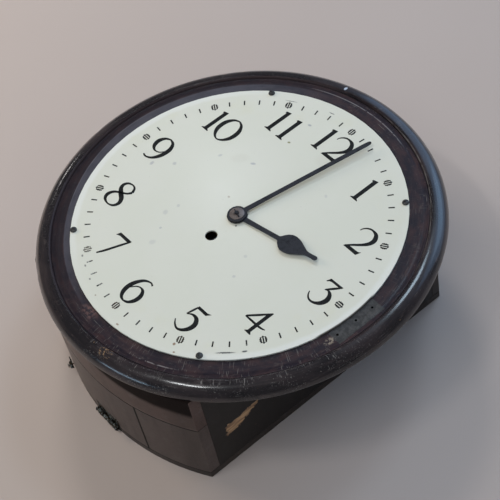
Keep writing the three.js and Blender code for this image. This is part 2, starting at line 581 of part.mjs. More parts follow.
function addMotionWork() {
  const plateFace = PLATES.front + PLATES.thick;
  const towardsMinute = direction([0, 0], MINUTE_AT);
  const bore = [ringPoints(1.8 + GAP, 14)];
  add('cannon_pinion', join(
    slab(toothedOutline(CANNON.teeth, CANNON.module, towardsMinute, PINION_LEAF),
      plateFace + 0.8, plateFace + 4, bore),
    slab(ringPoints(2.9, 16), plateFace + 0.8, MINUTE_HAND.z + 0.8, bore),
  ), steel);

  add('minute_wheel', join(
    rod(1, PLATES.front - 0.4, plateFace + 8.6, [0, 0], 12),
    wheelPart(MINUTE_WHEEL.teeth, CANNON.module,
      gapTowards(towardsMinute + Math.PI, MINUTE_WHEEL.teeth), plateFace + 1.4, plateFace + 3.4),
    pinionPart(MINUTE_WHEEL.pinion, MINUTE_WHEEL.pinionModule, towardsMinute + Math.PI,
      plateFace + 3, plateFace + 8),
  ), brass, [...MINUTE_AT, 0]);

  const pipe = ringPoints(4.5, 20);
  const pipeBore = [ringPoints(2.9 + 0.5, 16)];
  add('hour_wheel', join(
    slab(toothedOutline(HOUR_WHEEL.teeth, MINUTE_WHEEL.pinionModule,
      gapTowards(towardsMinute, HOUR_WHEEL.teeth)), plateFace + 5.2, plateFace + 7.2, pipeBore),
    slab(pipe, plateFace + 4.6, HOUR_HAND.z + 0.7, pipeBore),
  ), brass);
}

// A hand pointing to +Y, given by half-widths along its length.
function handOutline(halfWidths, hub) {
  const right = halfWidths.map(([y, x]) => [x, y]);
  const left = halfWidths.map(([y, x]) => [-x, y]).reverse();
  const start = Math.atan2(halfWidths[0][0], halfWidths[0][1]);
  const hubArc = Array.from({ length: 13 }, (_, i) => {
    const angle = Math.PI - start + ((2 * start + Math.PI) * (i + 1)) / 14;
    return [hub * Math.cos(angle), hub * Math.sin(angle)];
  });
  return [...right, ...left, ...hubArc];
}

// Bends a hand away from the dial beyond its hub.
function bentUp(geometry, hub, slope) {
  const at = geometry.getAttribute('position');
  for (let i = 0; i < at.count; i += 1) {
    at.setZ(i, at.getZ(i) + slope * Math.max(0, at.getY(i) - hub));
  }
  return geometry;
}

function addHand(name, halfWidths, hand, boreSides) {
  const flat = slab(handOutline(halfWidths, hand.hub), hand.z, hand.z + hand.thick,
    [ringPoints(hand.bore, boreSides)]);
  add(name, bentUp(flat, hand.hub, hand.slope), blueSteel)
    .rotation.z = -THREE.MathUtils.degToRad(hand.angle);
}

function addHands() {
  addHand('hour_hand', [[9.1, 2.4], [28, 2.1], [48, 2.1], [49.2, 3.4], [50.8, 5.4], [53.6, 8],
    [57, 9.6], [60.5, 9.9], [64, 9.3], [67.5, 8.1], [71, 6.2], [74.5, 4.4], [77.5, 2.7], [80.5, 2],
    [85.5, 1.9], [88, 2.2], [90, 1.9], [91, 0.8]], HOUR_HAND, 20);

  const end = MINUTE_HAND.length;
  addHand('minute_hand', [[8.6, 2.3], [40, 2.1], [75, 2], [110, 2.1], [end - 6, 2.1],
    [end - 2, 1.8], [end - 0.6, 1.2], [end, 0.5]], MINUTE_HAND, 16);

  const seat = MINUTE_HAND.z + MINUTE_HAND.thick + 0.2;
  const collet = turned([[2.2, seat + 0.1], [6.8, seat], [6.8, seat + 0.3], [5.6, seat + 0.9],
    [2.2, seat + 1.2]], 20);
  add('hand_collet', collet, bronze);
}

addCase();
addCatch();
addSurround();
addHangingPlate();
addDial();
addFrame();
addTrain();
addClick();
addEscapement();
addPendulum();
addMotionWork();
addHands();

export default clock;
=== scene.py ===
"""A dial wall clock with a box case, lying on its back: fine shapes, materials, light and camera.

Lengths are millimetres unless a name says otherwise. Angles on the dial are degrees clockwise
from 12. The frame's origin is on the dial's axis at the clock's back, +Z out of the dial and
+Y towards 12, so object coordinates in the materials are places on the clock.
"""
import json
import math

import bmesh
import bpy
from mathutils import Matrix, Vector, noise

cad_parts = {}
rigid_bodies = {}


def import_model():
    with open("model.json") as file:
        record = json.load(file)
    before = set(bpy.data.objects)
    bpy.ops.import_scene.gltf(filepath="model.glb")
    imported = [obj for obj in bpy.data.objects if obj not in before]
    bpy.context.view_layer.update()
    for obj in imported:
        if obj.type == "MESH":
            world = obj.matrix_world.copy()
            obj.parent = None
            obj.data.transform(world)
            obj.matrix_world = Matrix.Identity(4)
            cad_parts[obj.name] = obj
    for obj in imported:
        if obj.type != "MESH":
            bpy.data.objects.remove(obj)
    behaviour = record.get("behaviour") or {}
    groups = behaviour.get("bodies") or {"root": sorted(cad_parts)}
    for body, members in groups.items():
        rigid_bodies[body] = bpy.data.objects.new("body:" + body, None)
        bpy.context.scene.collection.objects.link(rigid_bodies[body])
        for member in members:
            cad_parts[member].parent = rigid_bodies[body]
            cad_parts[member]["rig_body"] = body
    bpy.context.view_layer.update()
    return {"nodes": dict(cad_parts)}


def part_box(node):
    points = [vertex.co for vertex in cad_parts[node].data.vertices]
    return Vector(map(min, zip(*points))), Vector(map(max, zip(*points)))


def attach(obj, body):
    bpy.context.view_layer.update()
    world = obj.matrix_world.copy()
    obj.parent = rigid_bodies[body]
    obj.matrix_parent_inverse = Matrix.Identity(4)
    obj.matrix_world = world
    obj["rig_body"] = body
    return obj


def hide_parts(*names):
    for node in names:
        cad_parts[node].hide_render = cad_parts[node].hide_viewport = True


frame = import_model()
MM = 0.001


# ---- places on the clock ------------------------------------------------------------------

def low(node):
    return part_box(node)[0] / MM


def high(node):
    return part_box(node)[1] / MM


def clock_point(angle, radius, z=0.0):
    turn = math.radians(angle)
    return Vector((radius * math.sin(turn), radius * math.cos(turn), z))


DIAL_FACE = high("dial_plate").z
RING_INNER = 112.0
RING_OUTER = high("surround_ring").y
RING_FRONT = high("surround_ring").z
RING_BACK = low("surround_ring").z
RING_FLAT_TO = 164.6                   # the ring's front is flat to here, then falls to the seam
RING_LIP = 133.8
MOULD_OUTER = high("surround_moulding").y
MOULD_TOP = high("surround_moulding").z
MOULD_INNER = 170.3
MOULD_CROWN = 172.2
CASE_SIDE = high("case_side_right").x
RAIL_BOTTOM = low("case_bottom_rail").z
DOOR_SIDE = high("bottom_door").x
BEZEL_HOLES = [18.4, 0.0, -20.6]       # screw holes of the missing bezel's hinge, along Y
BEZEL_HOLE_X = 157.5
BEZEL_HOLE_RADIUS = 1.15
FLOOR_REACH = 6                        # half the floor's side, in metres
# The case's corner beside the catch leans in: its place, and how far it has moved at a height.
LEANING_CORNER, LEAN, LEAN_HEIGHT = (-115.5, -149.4), (1.2, 2.0), 124


# ---- mesh helpers -------------------------------------------------------------------------

def make_piece(name, bm, material, body, replaced=(), smooth=40):
    """Turns a bmesh in millimetres into a piece that rides on a body."""
    bmesh.ops.scale(bm, vec=(MM, MM, MM), verts=bm.verts)
    mesh = bpy.data.meshes.new(name)
    bm.to_mesh(mesh)
    bm.free()
    return finish_piece(name, mesh, material, body, replaced, smooth)


def finish_piece(name, mesh, material, body, replaced, smooth):
    """Makes a mesh a piece, with its material and slot, its body and the CAD nodes it replaces."""
    piece = bpy.data.objects.new(name, mesh)
    bpy.context.scene.collection.objects.link(piece)
    mesh.materials.clear()
    mesh.materials.append(material)
    mesh.polygons.foreach_set("use_smooth", [True] * len(mesh.polygons))
    mesh.set_sharp_from_angle(angle=math.radians(smooth))
    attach(piece, body)
    if replaced:
        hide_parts(*replaced)
    return piece


def baked(piece):
    """Applies a piece's modifiers to its mesh."""
    graph = bpy.context.evaluated_depsgraph_get()
    mesh = bpy.data.meshes.new_from_object(piece.evaluated_get(graph))
    piece.modifiers.clear()
    piece.data = mesh
    return piece


def refined(node, material, bevel, angle=30, smooth=35):
    """A copy of a CAD node with its flat faces merged and its sharp edges rounded."""
    source = frame["nodes"][node]
    bm = bmesh.new()
    bm.from_mesh(source.data)
    bmesh.ops.remove_doubles(bm, verts=bm.verts, dist=2e-6)
    bmesh.ops.dissolve_limit(bm, angle_limit=math.radians(0.5), verts=bm.verts, edges=bm.edges)
    mesh = bpy.data.meshes.new(node + "_finished")
    bm.to_mesh(mesh)
    bm.free()
    piece = finish_piece(mesh.name, mesh, material, source["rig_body"], (node,), 180)
    rounding = piece.modifiers.new("rounding", "BEVEL")
    rounding.width = bevel * MM
    rounding.segments = 2
    rounding.limit_method = "ANGLE"
    rounding.angle_limit = math.radians(angle)
    rounding.use_clamp_overlap = True
    piece = baked(piece)
    piece.data.set_sharp_from_angle(angle=math.radians(smooth))
    flat_faces = piece.modifiers.new("flat_faces", "WEIGHTED_NORMAL")
    flat_faces.keep_sharp = True
    flat_faces.weight = 100
    return baked(piece)


def crusted(piece, size=3.0, depth=1.6, swell=0.12, edge=1.1, rounds=5, most_faces=20000):
    """Makes a surface lumpy: lumps of about size stand swell out, and hollows go depth deeper.

    Edges longer than edge are first halved, in a few rounds and up to a number of faces.
    """
    bm = bmesh.new()
    bm.from_mesh(piece.data)
    bmesh.ops.triangulate(bm, faces=bm.faces)
    for _ in range(rounds):
        long_edges = [e for e in bm.edges if e.calc_length() > edge * MM]
        if not long_edges or len(bm.faces) > most_faces:
            break
        bmesh.ops.subdivide_edges(bm, edges=long_edges, cuts=1)
        bmesh.ops.triangulate(bm, faces=bm.faces)
    bm.normal_update()
    eaten = {v: noise.noise(v.co / (size * MM)) * 0.5 + 0.5 for v in bm.verts}
    for vert, amount in eaten.items():
        vert.co += vert.normal * (swell - amount * depth) * MM
    bm.to_mesh(piece.data)
    bm.free()
    return piece


def leaned_in(piece, reach=5):
    """Leans the corner beside the catch inwards, by LEAN at LEAN_HEIGHT and by nothing at Z = 0."""
    for vert in piece.data.vertices:
        place = vert.co / MM
        if (place.xy - Vector(LEANING_CORNER)).length < reach:
            vert.co += Vector((*LEAN, 0)) * (place.z / LEAN_HEIGHT) * MM


def lathe(bm, profile, count, wobble=None):
    """Turns a closed [radius, z] profile about Z. wobble moves each point, given its place."""
    rings = []
    for i in range(count):
        ring = []
        for radius, z in profile:
            point = clock_point(360 * i / count, radius, z)
            ring.append(bm.verts.new(wobble(point) if wobble else point))
        rings.append(ring)
    for i, ring in enumerate(rings):
        after = rings[(i + 1) % count]
        for j in range(len(profile)):
            k = (j + 1) % len(profile)
            bm.faces.new((ring[j], after[j], after[k], ring[k]))
    bmesh.ops.recalc_face_normals(bm, faces=bm.faces)


def smooth_line(points, steps=6):
    """A Catmull-Rom curve through points that each hold the same number of values."""
    ends = [points[0], *points, points[-1]]
    line = []
    for stretch in zip(ends, ends[1:], ends[2:], ends[3:]):
        for step in range(steps):
            t = step / steps
            line.append([0.5 * (2 * b + (c - a) * t + (2 * a - 5 * b + 4 * c - d) * t * t
                                + (3 * b - a - 3 * c + d) * t ** 3)
                         for a, b, c, d in zip(*stretch)])
    line.append(list(points[-1]))
    return line


def prism(bm, outline, z0, z1):
    """A thin solid over a flat outline of Vectors."""
    bottom = [bm.verts.new((p.x, p.y, z0)) for p in outline]
    top = [bm.verts.new((p.x, p.y, z1)) for p in outline]
    faces = [bm.faces.new(top), bm.faces.new(list(reversed(bottom)))]
    count = len(outline)
    for i in range(count):
        j = (i + 1) % count
        faces.append(bm.faces.new((bottom[i], bottom[j], top[j], top[i])))
    bmesh.ops.recalc_face_normals(bm, faces=faces)
    return bottom + top


# How much wider than drawn the paint has spread: by this factor, and then by this many millimetres.
PEN, PEN_EDGE = 1.12, 0.08


def stroke_outline(points):
    """The two edges of a pen stroke given as [x, y, half-width] points."""
    line = smooth_line(points)
    left, right = [], []
    for i, (x, y, half) in enumerate(line):
        x0, y0, _ = line[max(i - 1, 0)]
        x1, y1, _ = line[min(i + 1, len(line) - 1)]
        along = Vector((x1 - x0, y1 - y0)).normalized()
        across = Vector((-along.y, along.x)) * (half * PEN + PEN_EDGE)
        left.append(Vector((x, y)) + across)
        right.append(Vector((x, y)) - across)
    return left + right[::-1]


# ---- material helpers ---------------------------------------------------------------------

class Paint:
    """A node material. Each method adds nodes and gives back the socket that holds the result."""

    def __init__(self, name, settings):
        self.material = bpy.data.materials.new(name)
        self.material.use_nodes = True
        self.tree = self.material.node_tree
        self.shader = self.tree.nodes["Principled BSDF"]
        for socket, value in settings.items():
            self.feed(self.shader.inputs[socket], value)
        coordinates = self.tree.nodes.new("ShaderNodeTexCoord").outputs["Object"]
        self.place = self.vector("SCALE", coordinates, scale=1 / MM)

    def feed(self, socket, value):
        if isinstance(value, bpy.types.NodeSocket):
            self.tree.links.new(value, socket)
        elif isinstance(value, (tuple, list)) and socket.type == "RGBA" and len(value) == 3:
            socket.default_value = (*value, 1.0)
        else:
            socket.default_value = value

    def node(self, kind, inputs, output=0, **settings):
        made = self.tree.nodes.new(kind)
        for key, value in settings.items():
            setattr(made, key, value)
        for key, value in inputs.items():
            self.feed(made.inputs[key], value)
        return made.outputs[output]

    def math(self, operation, a, b=0.0, clamp=False):
        return self.node("ShaderNodeMath", {0: a, 1: b}, operation=operation, use_clamp=clamp)

    def vector(self, operation, a, b=(0, 0, 0), scale=1.0, output=0):
        inputs = {0: a, "Scale": scale} if operation == "SCALE" else {0: a, 1: b}
        return self.node("ShaderNodeVectorMath", inputs, output, operation=operation)

    def mix(self, factor, a, b):
        return self.node("ShaderNodeMix", {"Factor": factor, 6: a, 7: b}, 2, data_type="RGBA")

    def ramp(self, value, start, end, low_value=0.0, high_value=1.0):
        """A soft step from low_value at start to high_value at end."""
        return self.node("ShaderNodeMapRange", {
            "Value": value, "From Min": start, "From Max": end,
            "To Min": low_value, "To Max": high_value}, interpolation_type="SMOOTHSTEP")

    def band(self, value, start, end, soft):
        """1 between start and end, and 0 outside, with soft ends."""
        return self.math("MULTIPLY", self.ramp(value, start - soft, start + soft),
                         self.ramp(value, end - soft, end + soft, 1.0, 0.0))

    def noise(self, size, detail=3.0, rough=0.55, at=None, stretch=(1, 1, 1), distort=0.0):
        """Noise from 0 to 1 whose features are about size millimetres across."""
        at = self.vector("MULTIPLY", self.place if at is None else at,
                         tuple(1 / (size * s) for s in stretch))
        return self.node("ShaderNodeTexNoise", {
            "Vector": at, "Scale": 1.0, "Detail": detail, "Roughness": rough,
            "Distortion": distort})

    def axis(self, name, at=None):
        return self.node("ShaderNodeSeparateXYZ", {0: self.place if at is None else at},
                         "XYZ".index(name))

    def polar(self):
        """Distance from the dial's axis, and the clock angle in degrees."""
        x, y = self.axis("X"), self.axis("Y")
        radius = self.math("SQRT", self.math("ADD", self.math("MULTIPLY", x, x),
                                             self.math("MULTIPLY", y, y)))
        turn = self.math("MULTIPLY", self.math("ARCTAN2", x, y), 180 / math.pi)
        angle = self.node("ShaderNodeMath", {0: turn, 1: 360.0, 2: 0.0}, operation="WRAP")
        return radius, angle

    def around(self):
        """Coordinates that run along the turned wood: arc length, radius and height."""
        radius, angle = self.polar()
        along = self.math("MULTIPLY", angle, RING_OUTER * math.pi / 180)
        return self.node("ShaderNodeCombineXYZ", {0: along, 1: radius, 2: self.axis("Z")})

    def frayed(self, scale, reach, detail=3.0, rough=0.5):
        """Places moved by noise, up to half of reach each way, which makes a mask's edge ragged."""
        noisy = self.node("ShaderNodeTexNoise", {
            "Vector": self.place, "Scale": scale, "Detail": detail, "Roughness": rough}, 1)
        moved = self.vector("ADD", self.place, self.vector("SCALE", noisy, scale=reach))
        return self.vector("SUBTRACT", moved, (reach / 2, reach / 2, reach / 2))

    def mark(self, x, y, length, width, turn=0.0, at=None, soft=0.5):
        """1 inside an oval spot of half-length length and half-width width, 0 outside."""
        local = self.node("ShaderNodeMapping", {
            "Vector": self.place if at is None else at, "Location": (x, y, 0),
            "Rotation": (0, 0, turn), "Scale": (length, width, 1e6)}, vector_type="TEXTURE")
        distance = self.vector("LENGTH", local, output=1)
        return self.ramp(distance, 1 - soft, 1 + soft, 1.0, 0.0)

    def any(self, *masks):
        """The strongest of the masks."""
        result = masks[0]
        for other in masks[1:]:
            result = self.math("MAXIMUM", result, other)
        return result

    def times(self, *values):
        """The product of the values."""
        result = values[0]
        for other in values[1:]:
            result = self.math("MULTIPLY", result, other)
        return result

    def bump(self, height, depth, below=None):
        """A normal from a 0 to 1 height that stands for depth millimetres."""
        inputs = {"Height": height, "Distance": depth * MM, "Strength": 1.0}
        if below is not None:
            inputs["Normal"] = below
        return self.node("ShaderNodeBump", inputs)

    def done(self, color=None, roughness=None, normal=None, metallic=None):
        for name, value in (("Base Color", color), ("Roughness", roughness),
                            ("Normal", normal), ("Metallic", metallic)):
            if value is not None:
                self.feed(self.shader.inputs[name], value)
        return self.material


# ---- materials ----------------------------------------------------------------------------

# Blemishes of the dial: angle, radius, length along the ring, width, colour, strength.
SMUDGE, RUST = (0.36, 0.37, 0.40), (0.22, 0.12, 0.06)
OLIVE, SOOT = (0.20, 0.20, 0.06), (0.05, 0.05, 0.06)
DIAL_BLEMISHES = [
    (133.2, 145.3, 7.5, 0.75, SOOT, 0.9), (126.8, 145.3, 2.2, 0.8, SOOT, 0.9),
    (151.4, 142.3, 1.2, 1.3, RUST, 0.9), (150.2, 150.0, 1.0, 0.8, RUST, 0.9),
    (173.4, 148.6, 1.3, 0.8, RUST, 0.7), (188.7, 144.7, 0.9, 0.7, RUST, 0.6),
    (196.3, 142.0, 1.1, 0.8, SOOT, 0.7), (202.8, 141.6, 1.3, 0.7, SOOT, 0.7),
    (207.6, 142.2, 1.2, 0.8, SOOT, 0.7), (347.5, 143.0, 2.7, 0.45, SOOT, 0.85),
    (330.3, 142.3, 5.2, 0.35, SOOT, 0.85), (339.6, 94.5, 1.4, 1.0, OLIVE, 0.9),
    (343.2, 120.8, 1.8, 1.1, SMUDGE, 0.8), (322.7, 61.6, 2.4, 1.2, SMUDGE, 0.7),
    (297.0, 75.8, 1.9, 1.3, SMUDGE, 0.45), (269.0, 91.0, 1.7, 1.8, SMUDGE, 0.5),
    (261.5, 108.2, 2.3, 1.5, SMUDGE, 0.6), (290.5, 24.6, 1.0, 1.1, RUST, 0.45),
    (29.7, 80.6, 1.8, 1.2, SMUDGE, 0.3), (120.5, 46.4, 1.6, 1.6, SMUDGE, 0.3),
    (131.8, 66.6, 1.5, 1.3, SMUDGE, 0.4), (215.0, 69.6, 1.1, 1.2, SMUDGE, 0.5),
    (204.2, 79.0, 2.4, 3.0, SMUDGE, 0.25), (229.9, 66.7, 2.6, 2.2, SMUDGE, 0.3),
    (238.2, 57.0, 1.7, 1.5, SMUDGE, 0.35), (136.5, 11.0, 0.9, 0.9, SOOT, 0.85),
    (311.0, 68.0, 8.0, 5.0, RUST, 0.05), (5.0, 96.0, 9.0, 7.0, RUST, 0.05),
]


def dial_material():
    p = Paint("dial_enamel", {"Coat Weight": 0.30, "Coat Roughness": 0.17,
                              "Specular IOR Level": 0.30})
    radius, angle = p.polar()
    clouds = p.noise(60, 4)
    fine = p.noise(7, 5, 0.6)
    color = p.mix(p.ramp(clouds, 0.35, 0.7), (0.664, 0.670, 0.588), (0.678, 0.680, 0.606))
    color = p.mix(p.times(p.ramp(fine, 0.55, 0.8), 0.25), color, (0.63, 0.64, 0.58))
    # The band that the bezel covered stayed whiter at the sides; inside it the paint yellowed.
    ragged = p.math("ADD", radius, p.math("MULTIPLY", p.noise(14, 3), 3.0))
    sides = p.any(p.band(angle, 62, 140, 18), p.band(angle, 212, 318, 20), 0.10)
    color = p.mix(p.times(p.ramp(ragged, 146.5, 150.5), sides, 0.62), color, (0.75, 0.765, 0.735))
    color = p.mix(p.times(p.ramp(p.noise(24, 4), 0.5, 0.75), p.band(radius, 122, 147, 5), 0.45),
                  color, (0.66, 0.655, 0.53))
    frayed = p.frayed(0.9, 1.1)
    for spot_angle, spot_radius, length, width, paint, strength in DIAL_BLEMISHES:
        at = clock_point(spot_angle, spot_radius)
        spot = p.mark(at.x, at.y, length, width, -math.radians(spot_angle), frayed, 0.45)
        color = p.mix(p.times(spot, strength), color, paint)
    specks = p.times(p.ramp(p.noise(1.6, 2), 0.72, 0.78), p.ramp(p.noise(30, 2), 0.45, 0.6))
    color = p.mix(p.times(specks, 0.5), color, (0.34, 0.31, 0.24))
    # Chipped paint at the very edge, worst beside the missing bezel's hinge.
    chips = p.ramp(p.math("ADD", radius, p.math("MULTIPLY", p.noise(5, 3), 1.6)), 153.2, 153.6)
    near_hinge = p.times(p.band(angle, 80, 103, 1.5), p.ramp(radius, 151.2, 151.6))
    color = p.mix(p.any(chips, p.times(near_hinge, 0.9)), color, (0.06, 0.05, 0.045))
    rough = p.ramp(p.noise(18, 4), 0.3, 0.7, 0.34, 0.40)
    return p.done(color, rough, p.bump(fine, 0.008))


def ink_material():
    p = Paint("numeral_ink", {"Specular IOR Level": 0.2})
    worn = p.node("ShaderNodeAttribute", {}, 2, attribute_name="wear")
    flaking = p.ramp(p.math("ADD", p.noise(1.3, 4, 0.7), worn), 0.80, 0.98)
    ink = p.mix(p.ramp(p.noise(3, 3), 0.35, 0.65), (0.008, 0.008, 0.008), (0.016, 0.016, 0.016))
    color = p.mix(p.times(p.ramp(p.noise(0.7, 2), 0.6, 0.75), 0.25), ink, (0.10, 0.10, 0.095))
    rusty = p.node("ShaderNodeAttribute", {}, 2, attribute_name="rust")
    color = p.mix(p.times(rusty, 0.35), color, (0.10, 0.075, 0.05))
    color = p.mix(p.times(flaking, 0.9), color, (0.62, 0.635, 0.58))
    return p.done(color, p.ramp(p.noise(2, 2), 0.3, 0.7, 0.35, 0.5), p.bump(flaking, 0.02))


def surround_material(name, glossy):
    """Black stain and varnish on turned wood, with scratches, rubs and chips."""
    p = Paint(name, {"Coat Roughness": 0.13 if glossy else 0.24})
    radius, angle = p.polar()
    around = p.around()
    grain = p.noise(1.6, 4, 0.6, around, (26, 1, 1))
    patches = p.noise(26 if glossy else 9, 5, 0.65, around, (2.2, 1, 1))
    dark = (0.011, 0.009, 0.011) if glossy else (0.016, 0.012, 0.018)
    brown = (0.030, 0.021, 0.023) if glossy else (0.046, 0.026, 0.028)
    color = p.mix(p.ramp(patches, 0.38, 0.68), dark, brown)
    color = p.mix(p.times(p.ramp(grain, 0.5, 0.7), 0.35), color, (0.055, 0.040, 0.040))
    rubbed = p.times(p.ramp(p.noise(5, 5, 0.7, around, (3, 1, 1)), 0.58, 0.70), 0.5)
    color = p.mix(rubbed, color, (0.085, 0.066, 0.064))
    lines = p.ramp(p.noise(0.5, 2, 0.5, around, (50, 1, 1)), 0.68, 0.73)
    cross = p.vector("MULTIPLY", around, (1.0, 0.09, 1.0))
    cross_lines = p.ramp(p.noise(0.9, 1, 0.5, cross), 0.64, 0.70)
    # The lower right took the most knocks.
    knocked = p.times(p.band(angle, 96, 178, 8), 0.8 if glossy else 0.5)
    cross_lines = p.times(cross_lines, p.math("ADD", knocked, 0.2))
    scratches = p.times(p.any(lines, cross_lines),
                        p.ramp(p.noise(22, 3, 0.5, around), 0.40, 0.56))
    color = p.mix(p.times(scratches, 0.7), color, (0.20, 0.185, 0.175))
    elsewhere = p.vector("ADD", around, (40, 0, 0))
    specks = p.times(p.ramp(p.noise(1.5, 2, 0.5, elsewhere), 0.74, 0.78),
                     p.ramp(p.noise(18, 2), 0.45, 0.55))
    color = p.mix(p.times(specks, 0.7), color, (0.30, 0.27, 0.24))
    height = p.math("ADD", p.times(grain, 0.5), p.times(scratches, -1.0))
    if glossy:
        color, height = moulding_wear(p, color, height)
    else:
        color, height = ring_wear(p, color, height, grain, patches)
    # The seam between ring and moulding is painted near black on the lower right: painted shade along
    # the joint.
    seam_shade = p.times(p.band(radius, RING_OUTER - 0.5, MOULD_INNER + 0.25, 0.2),
                   p.band(angle, 74, 172, 8))
    color = p.mix(p.times(seam_shade, 0.85), color, (0.004, 0.004, 0.004))
    smooth, worn = (0.22, 0.40) if glossy else (0.42, 0.6)
    rough = p.math("ADD", p.ramp(patches, 0.3, 0.7, smooth, worn), p.times(scratches, 0.25),
                   clamp=True)
    waves = p.bump(p.noise(16, 2, 0.5, around, (2, 1, 1)), 0.16)
    return p.done(color, rough, p.bump(height, 0.035, waves))


def moulding_wear(p, color, height):
    """Bare wood in nicks and on the lower left, a pale inner edge that is a worn arris with a painted
    highlight, a painted highlight spot, an inner slope painted lighter against its shade, and a
    polished crown.
    """
    radius, angle = p.polar()
    around = p.around()
    nicks = p.ramp(p.noise(2.6, 4, 0.65, around, (1.6, 1, 1)), 0.69, 0.72)
    low_left = p.times(p.band(angle, 167.2, 171.6, 0.8), p.band(radius, 170.6, 180, 1.2))
    often = p.ramp(p.noise(2.6, 4, 0.7, around, (1.4, 1, 1)), 0.55, 0.60)
    nicks = p.any(p.times(nicks, p.ramp(p.noise(40, 2), 0.5, 0.62)), p.times(often, low_left))
    color = p.mix(nicks, color, (0.26, 0.165, 0.095))
    # A small bluish-white spot at 345 degrees is a painted highlight.
    glint_spot = p.mark(*clock_point(345.0, 176.0).xy, 1.3, 2.3, math.radians(15), soft=0.3)
    color = p.mix(glint_spot, color, (0.50, 0.56, 0.66))
    # The pale inner edge on the upper and lower right is a worn arris with a painted highlight.
    arris_highlight = p.band(radius, 170.7, 171.6, 0.3)
    where = p.any(p.band(angle, 6, 62, 12), p.band(angle, 100, 150, 10))
    broken = p.ramp(p.noise(9, 3, 0.5, around), 0.30, 0.60)
    color = p.mix(p.times(arris_highlight, where, broken, 0.45), color, (0.22, 0.21, 0.21))
    # On the left the inner slope is painted a lighter brown: painted light that lifts the shade it
    # falls in.
    slope_lift = p.times(p.ramp(radius, 172.2, 171.4), p.band(angle, 188, 338, 12))
    color = p.mix(p.times(slope_lift, 0.8), color, (0.050, 0.036, 0.038))
    # Handling has polished the crown; the inner slope is dull.
    p.feed(p.shader.inputs["Coat Weight"], p.ramp(radius, 171.8, 173.6, 0.05, 0.8))
    p.feed(p.shader.inputs["Specular IOR Level"], p.ramp(radius, 171.8, 173.6, 0.08, 0.3))
    return color, p.math("SUBTRACT", height, p.times(nicks, 1.4))


def ring_wear(p, color, height, grain, patches):
    """A rubbed edge before the seam, a cool band on the left that is a painted reflection, and the
    bezel hinge's traces.
    """
    radius, angle = p.polar()
    # The edge before the seam is rubbed to a pale line over part of the round.
    line = p.band(radius, 164.3, 165.3, 0.2)
    where = p.any(p.band(angle, 336, 361, 4), p.band(angle, 0, 14, 4), p.band(angle, 149, 160, 3))
    broken = p.ramp(p.noise(6, 4, 0.6, p.around()), 0.42, 0.5)
    color = p.mix(p.times(line, where, broken, 0.6), color, (0.27, 0.25, 0.25))
    # Next to the dial on the left a cool pale band is painted as a reflection of the window, up to a
    # thin pale line painted as a highlight; past the line the ring is darker.
    past = p.math("SUBTRACT", radius, p.ramp(angle, 222, 272, 158.6, 162.2))
    cool_reflection = p.times(p.ramp(past, 0.4, -0.6), p.band(angle, 196, 330, 22))
    cool_reflection = p.times(cool_reflection, p.ramp(patches, 0.25, 0.6, 0.5, 0.85))
    color = p.mix(cool_reflection, color, (0.070, 0.070, 0.088))
    outside = p.times(p.ramp(past, 0.2, 1.4), p.band(angle, 190, 335, 22))
    color = p.mix(p.times(outside, 0.6), color, (0.016, 0.012, 0.015))
    step = p.times(p.band(past, -0.6, 0.3, 0.2), p.band(angle, 215, 305, 14))
    color = p.mix(p.times(step, p.ramp(grain, 0.35, 0.6), 0.5), color, (0.15, 0.15, 0.17))
    red_patch = p.mark(*clock_point(184.5, 157.5).xy, 9, 4.6, math.radians(-4), soft=0.45)
    red_patch = p.times(red_patch, p.ramp(p.noise(4, 4), 0.40, 0.62))
    color = p.mix(p.times(red_patch, 0.8), color, (0.15, 0.085, 0.08))
    # The bezel's hinge plate sat across the ring at 3 o'clock, and tore the wood beside it.
    frayed = p.frayed(0.5, 1.6)
    plate = p.times(p.band(p.axis("X", frayed), 151.2, 165.8, 0.4),
                    p.band(p.axis("Y", frayed), -25.2, 24.8, 0.5))
    scuffed = p.mix(p.ramp(p.noise(5, 5, 0.7), 0.4, 0.65), (0.040, 0.040, 0.040),
                    (0.078, 0.077, 0.076))
    color = p.mix(p.times(plate, 0.9), color, scuffed)
    torn = p.mark(157.6, -29.5, 5.0, 3.0, 1.4, soft=0.35)
    color = p.mix(p.times(torn, p.ramp(p.noise(2.6, 3), 0.45, 0.55)), color, (0.24, 0.20, 0.16))
    p.feed(p.shader.inputs["Coat Weight"], p.ramp(patches, 0.3, 0.7, 0.30, 0.18))
    p.feed(p.shader.inputs["Specular IOR Level"], p.ramp(radius, 163.5, 165.5, 0.25, 0.12))
    return color, p.math("SUBTRACT", height, p.times(plate, 1.5))


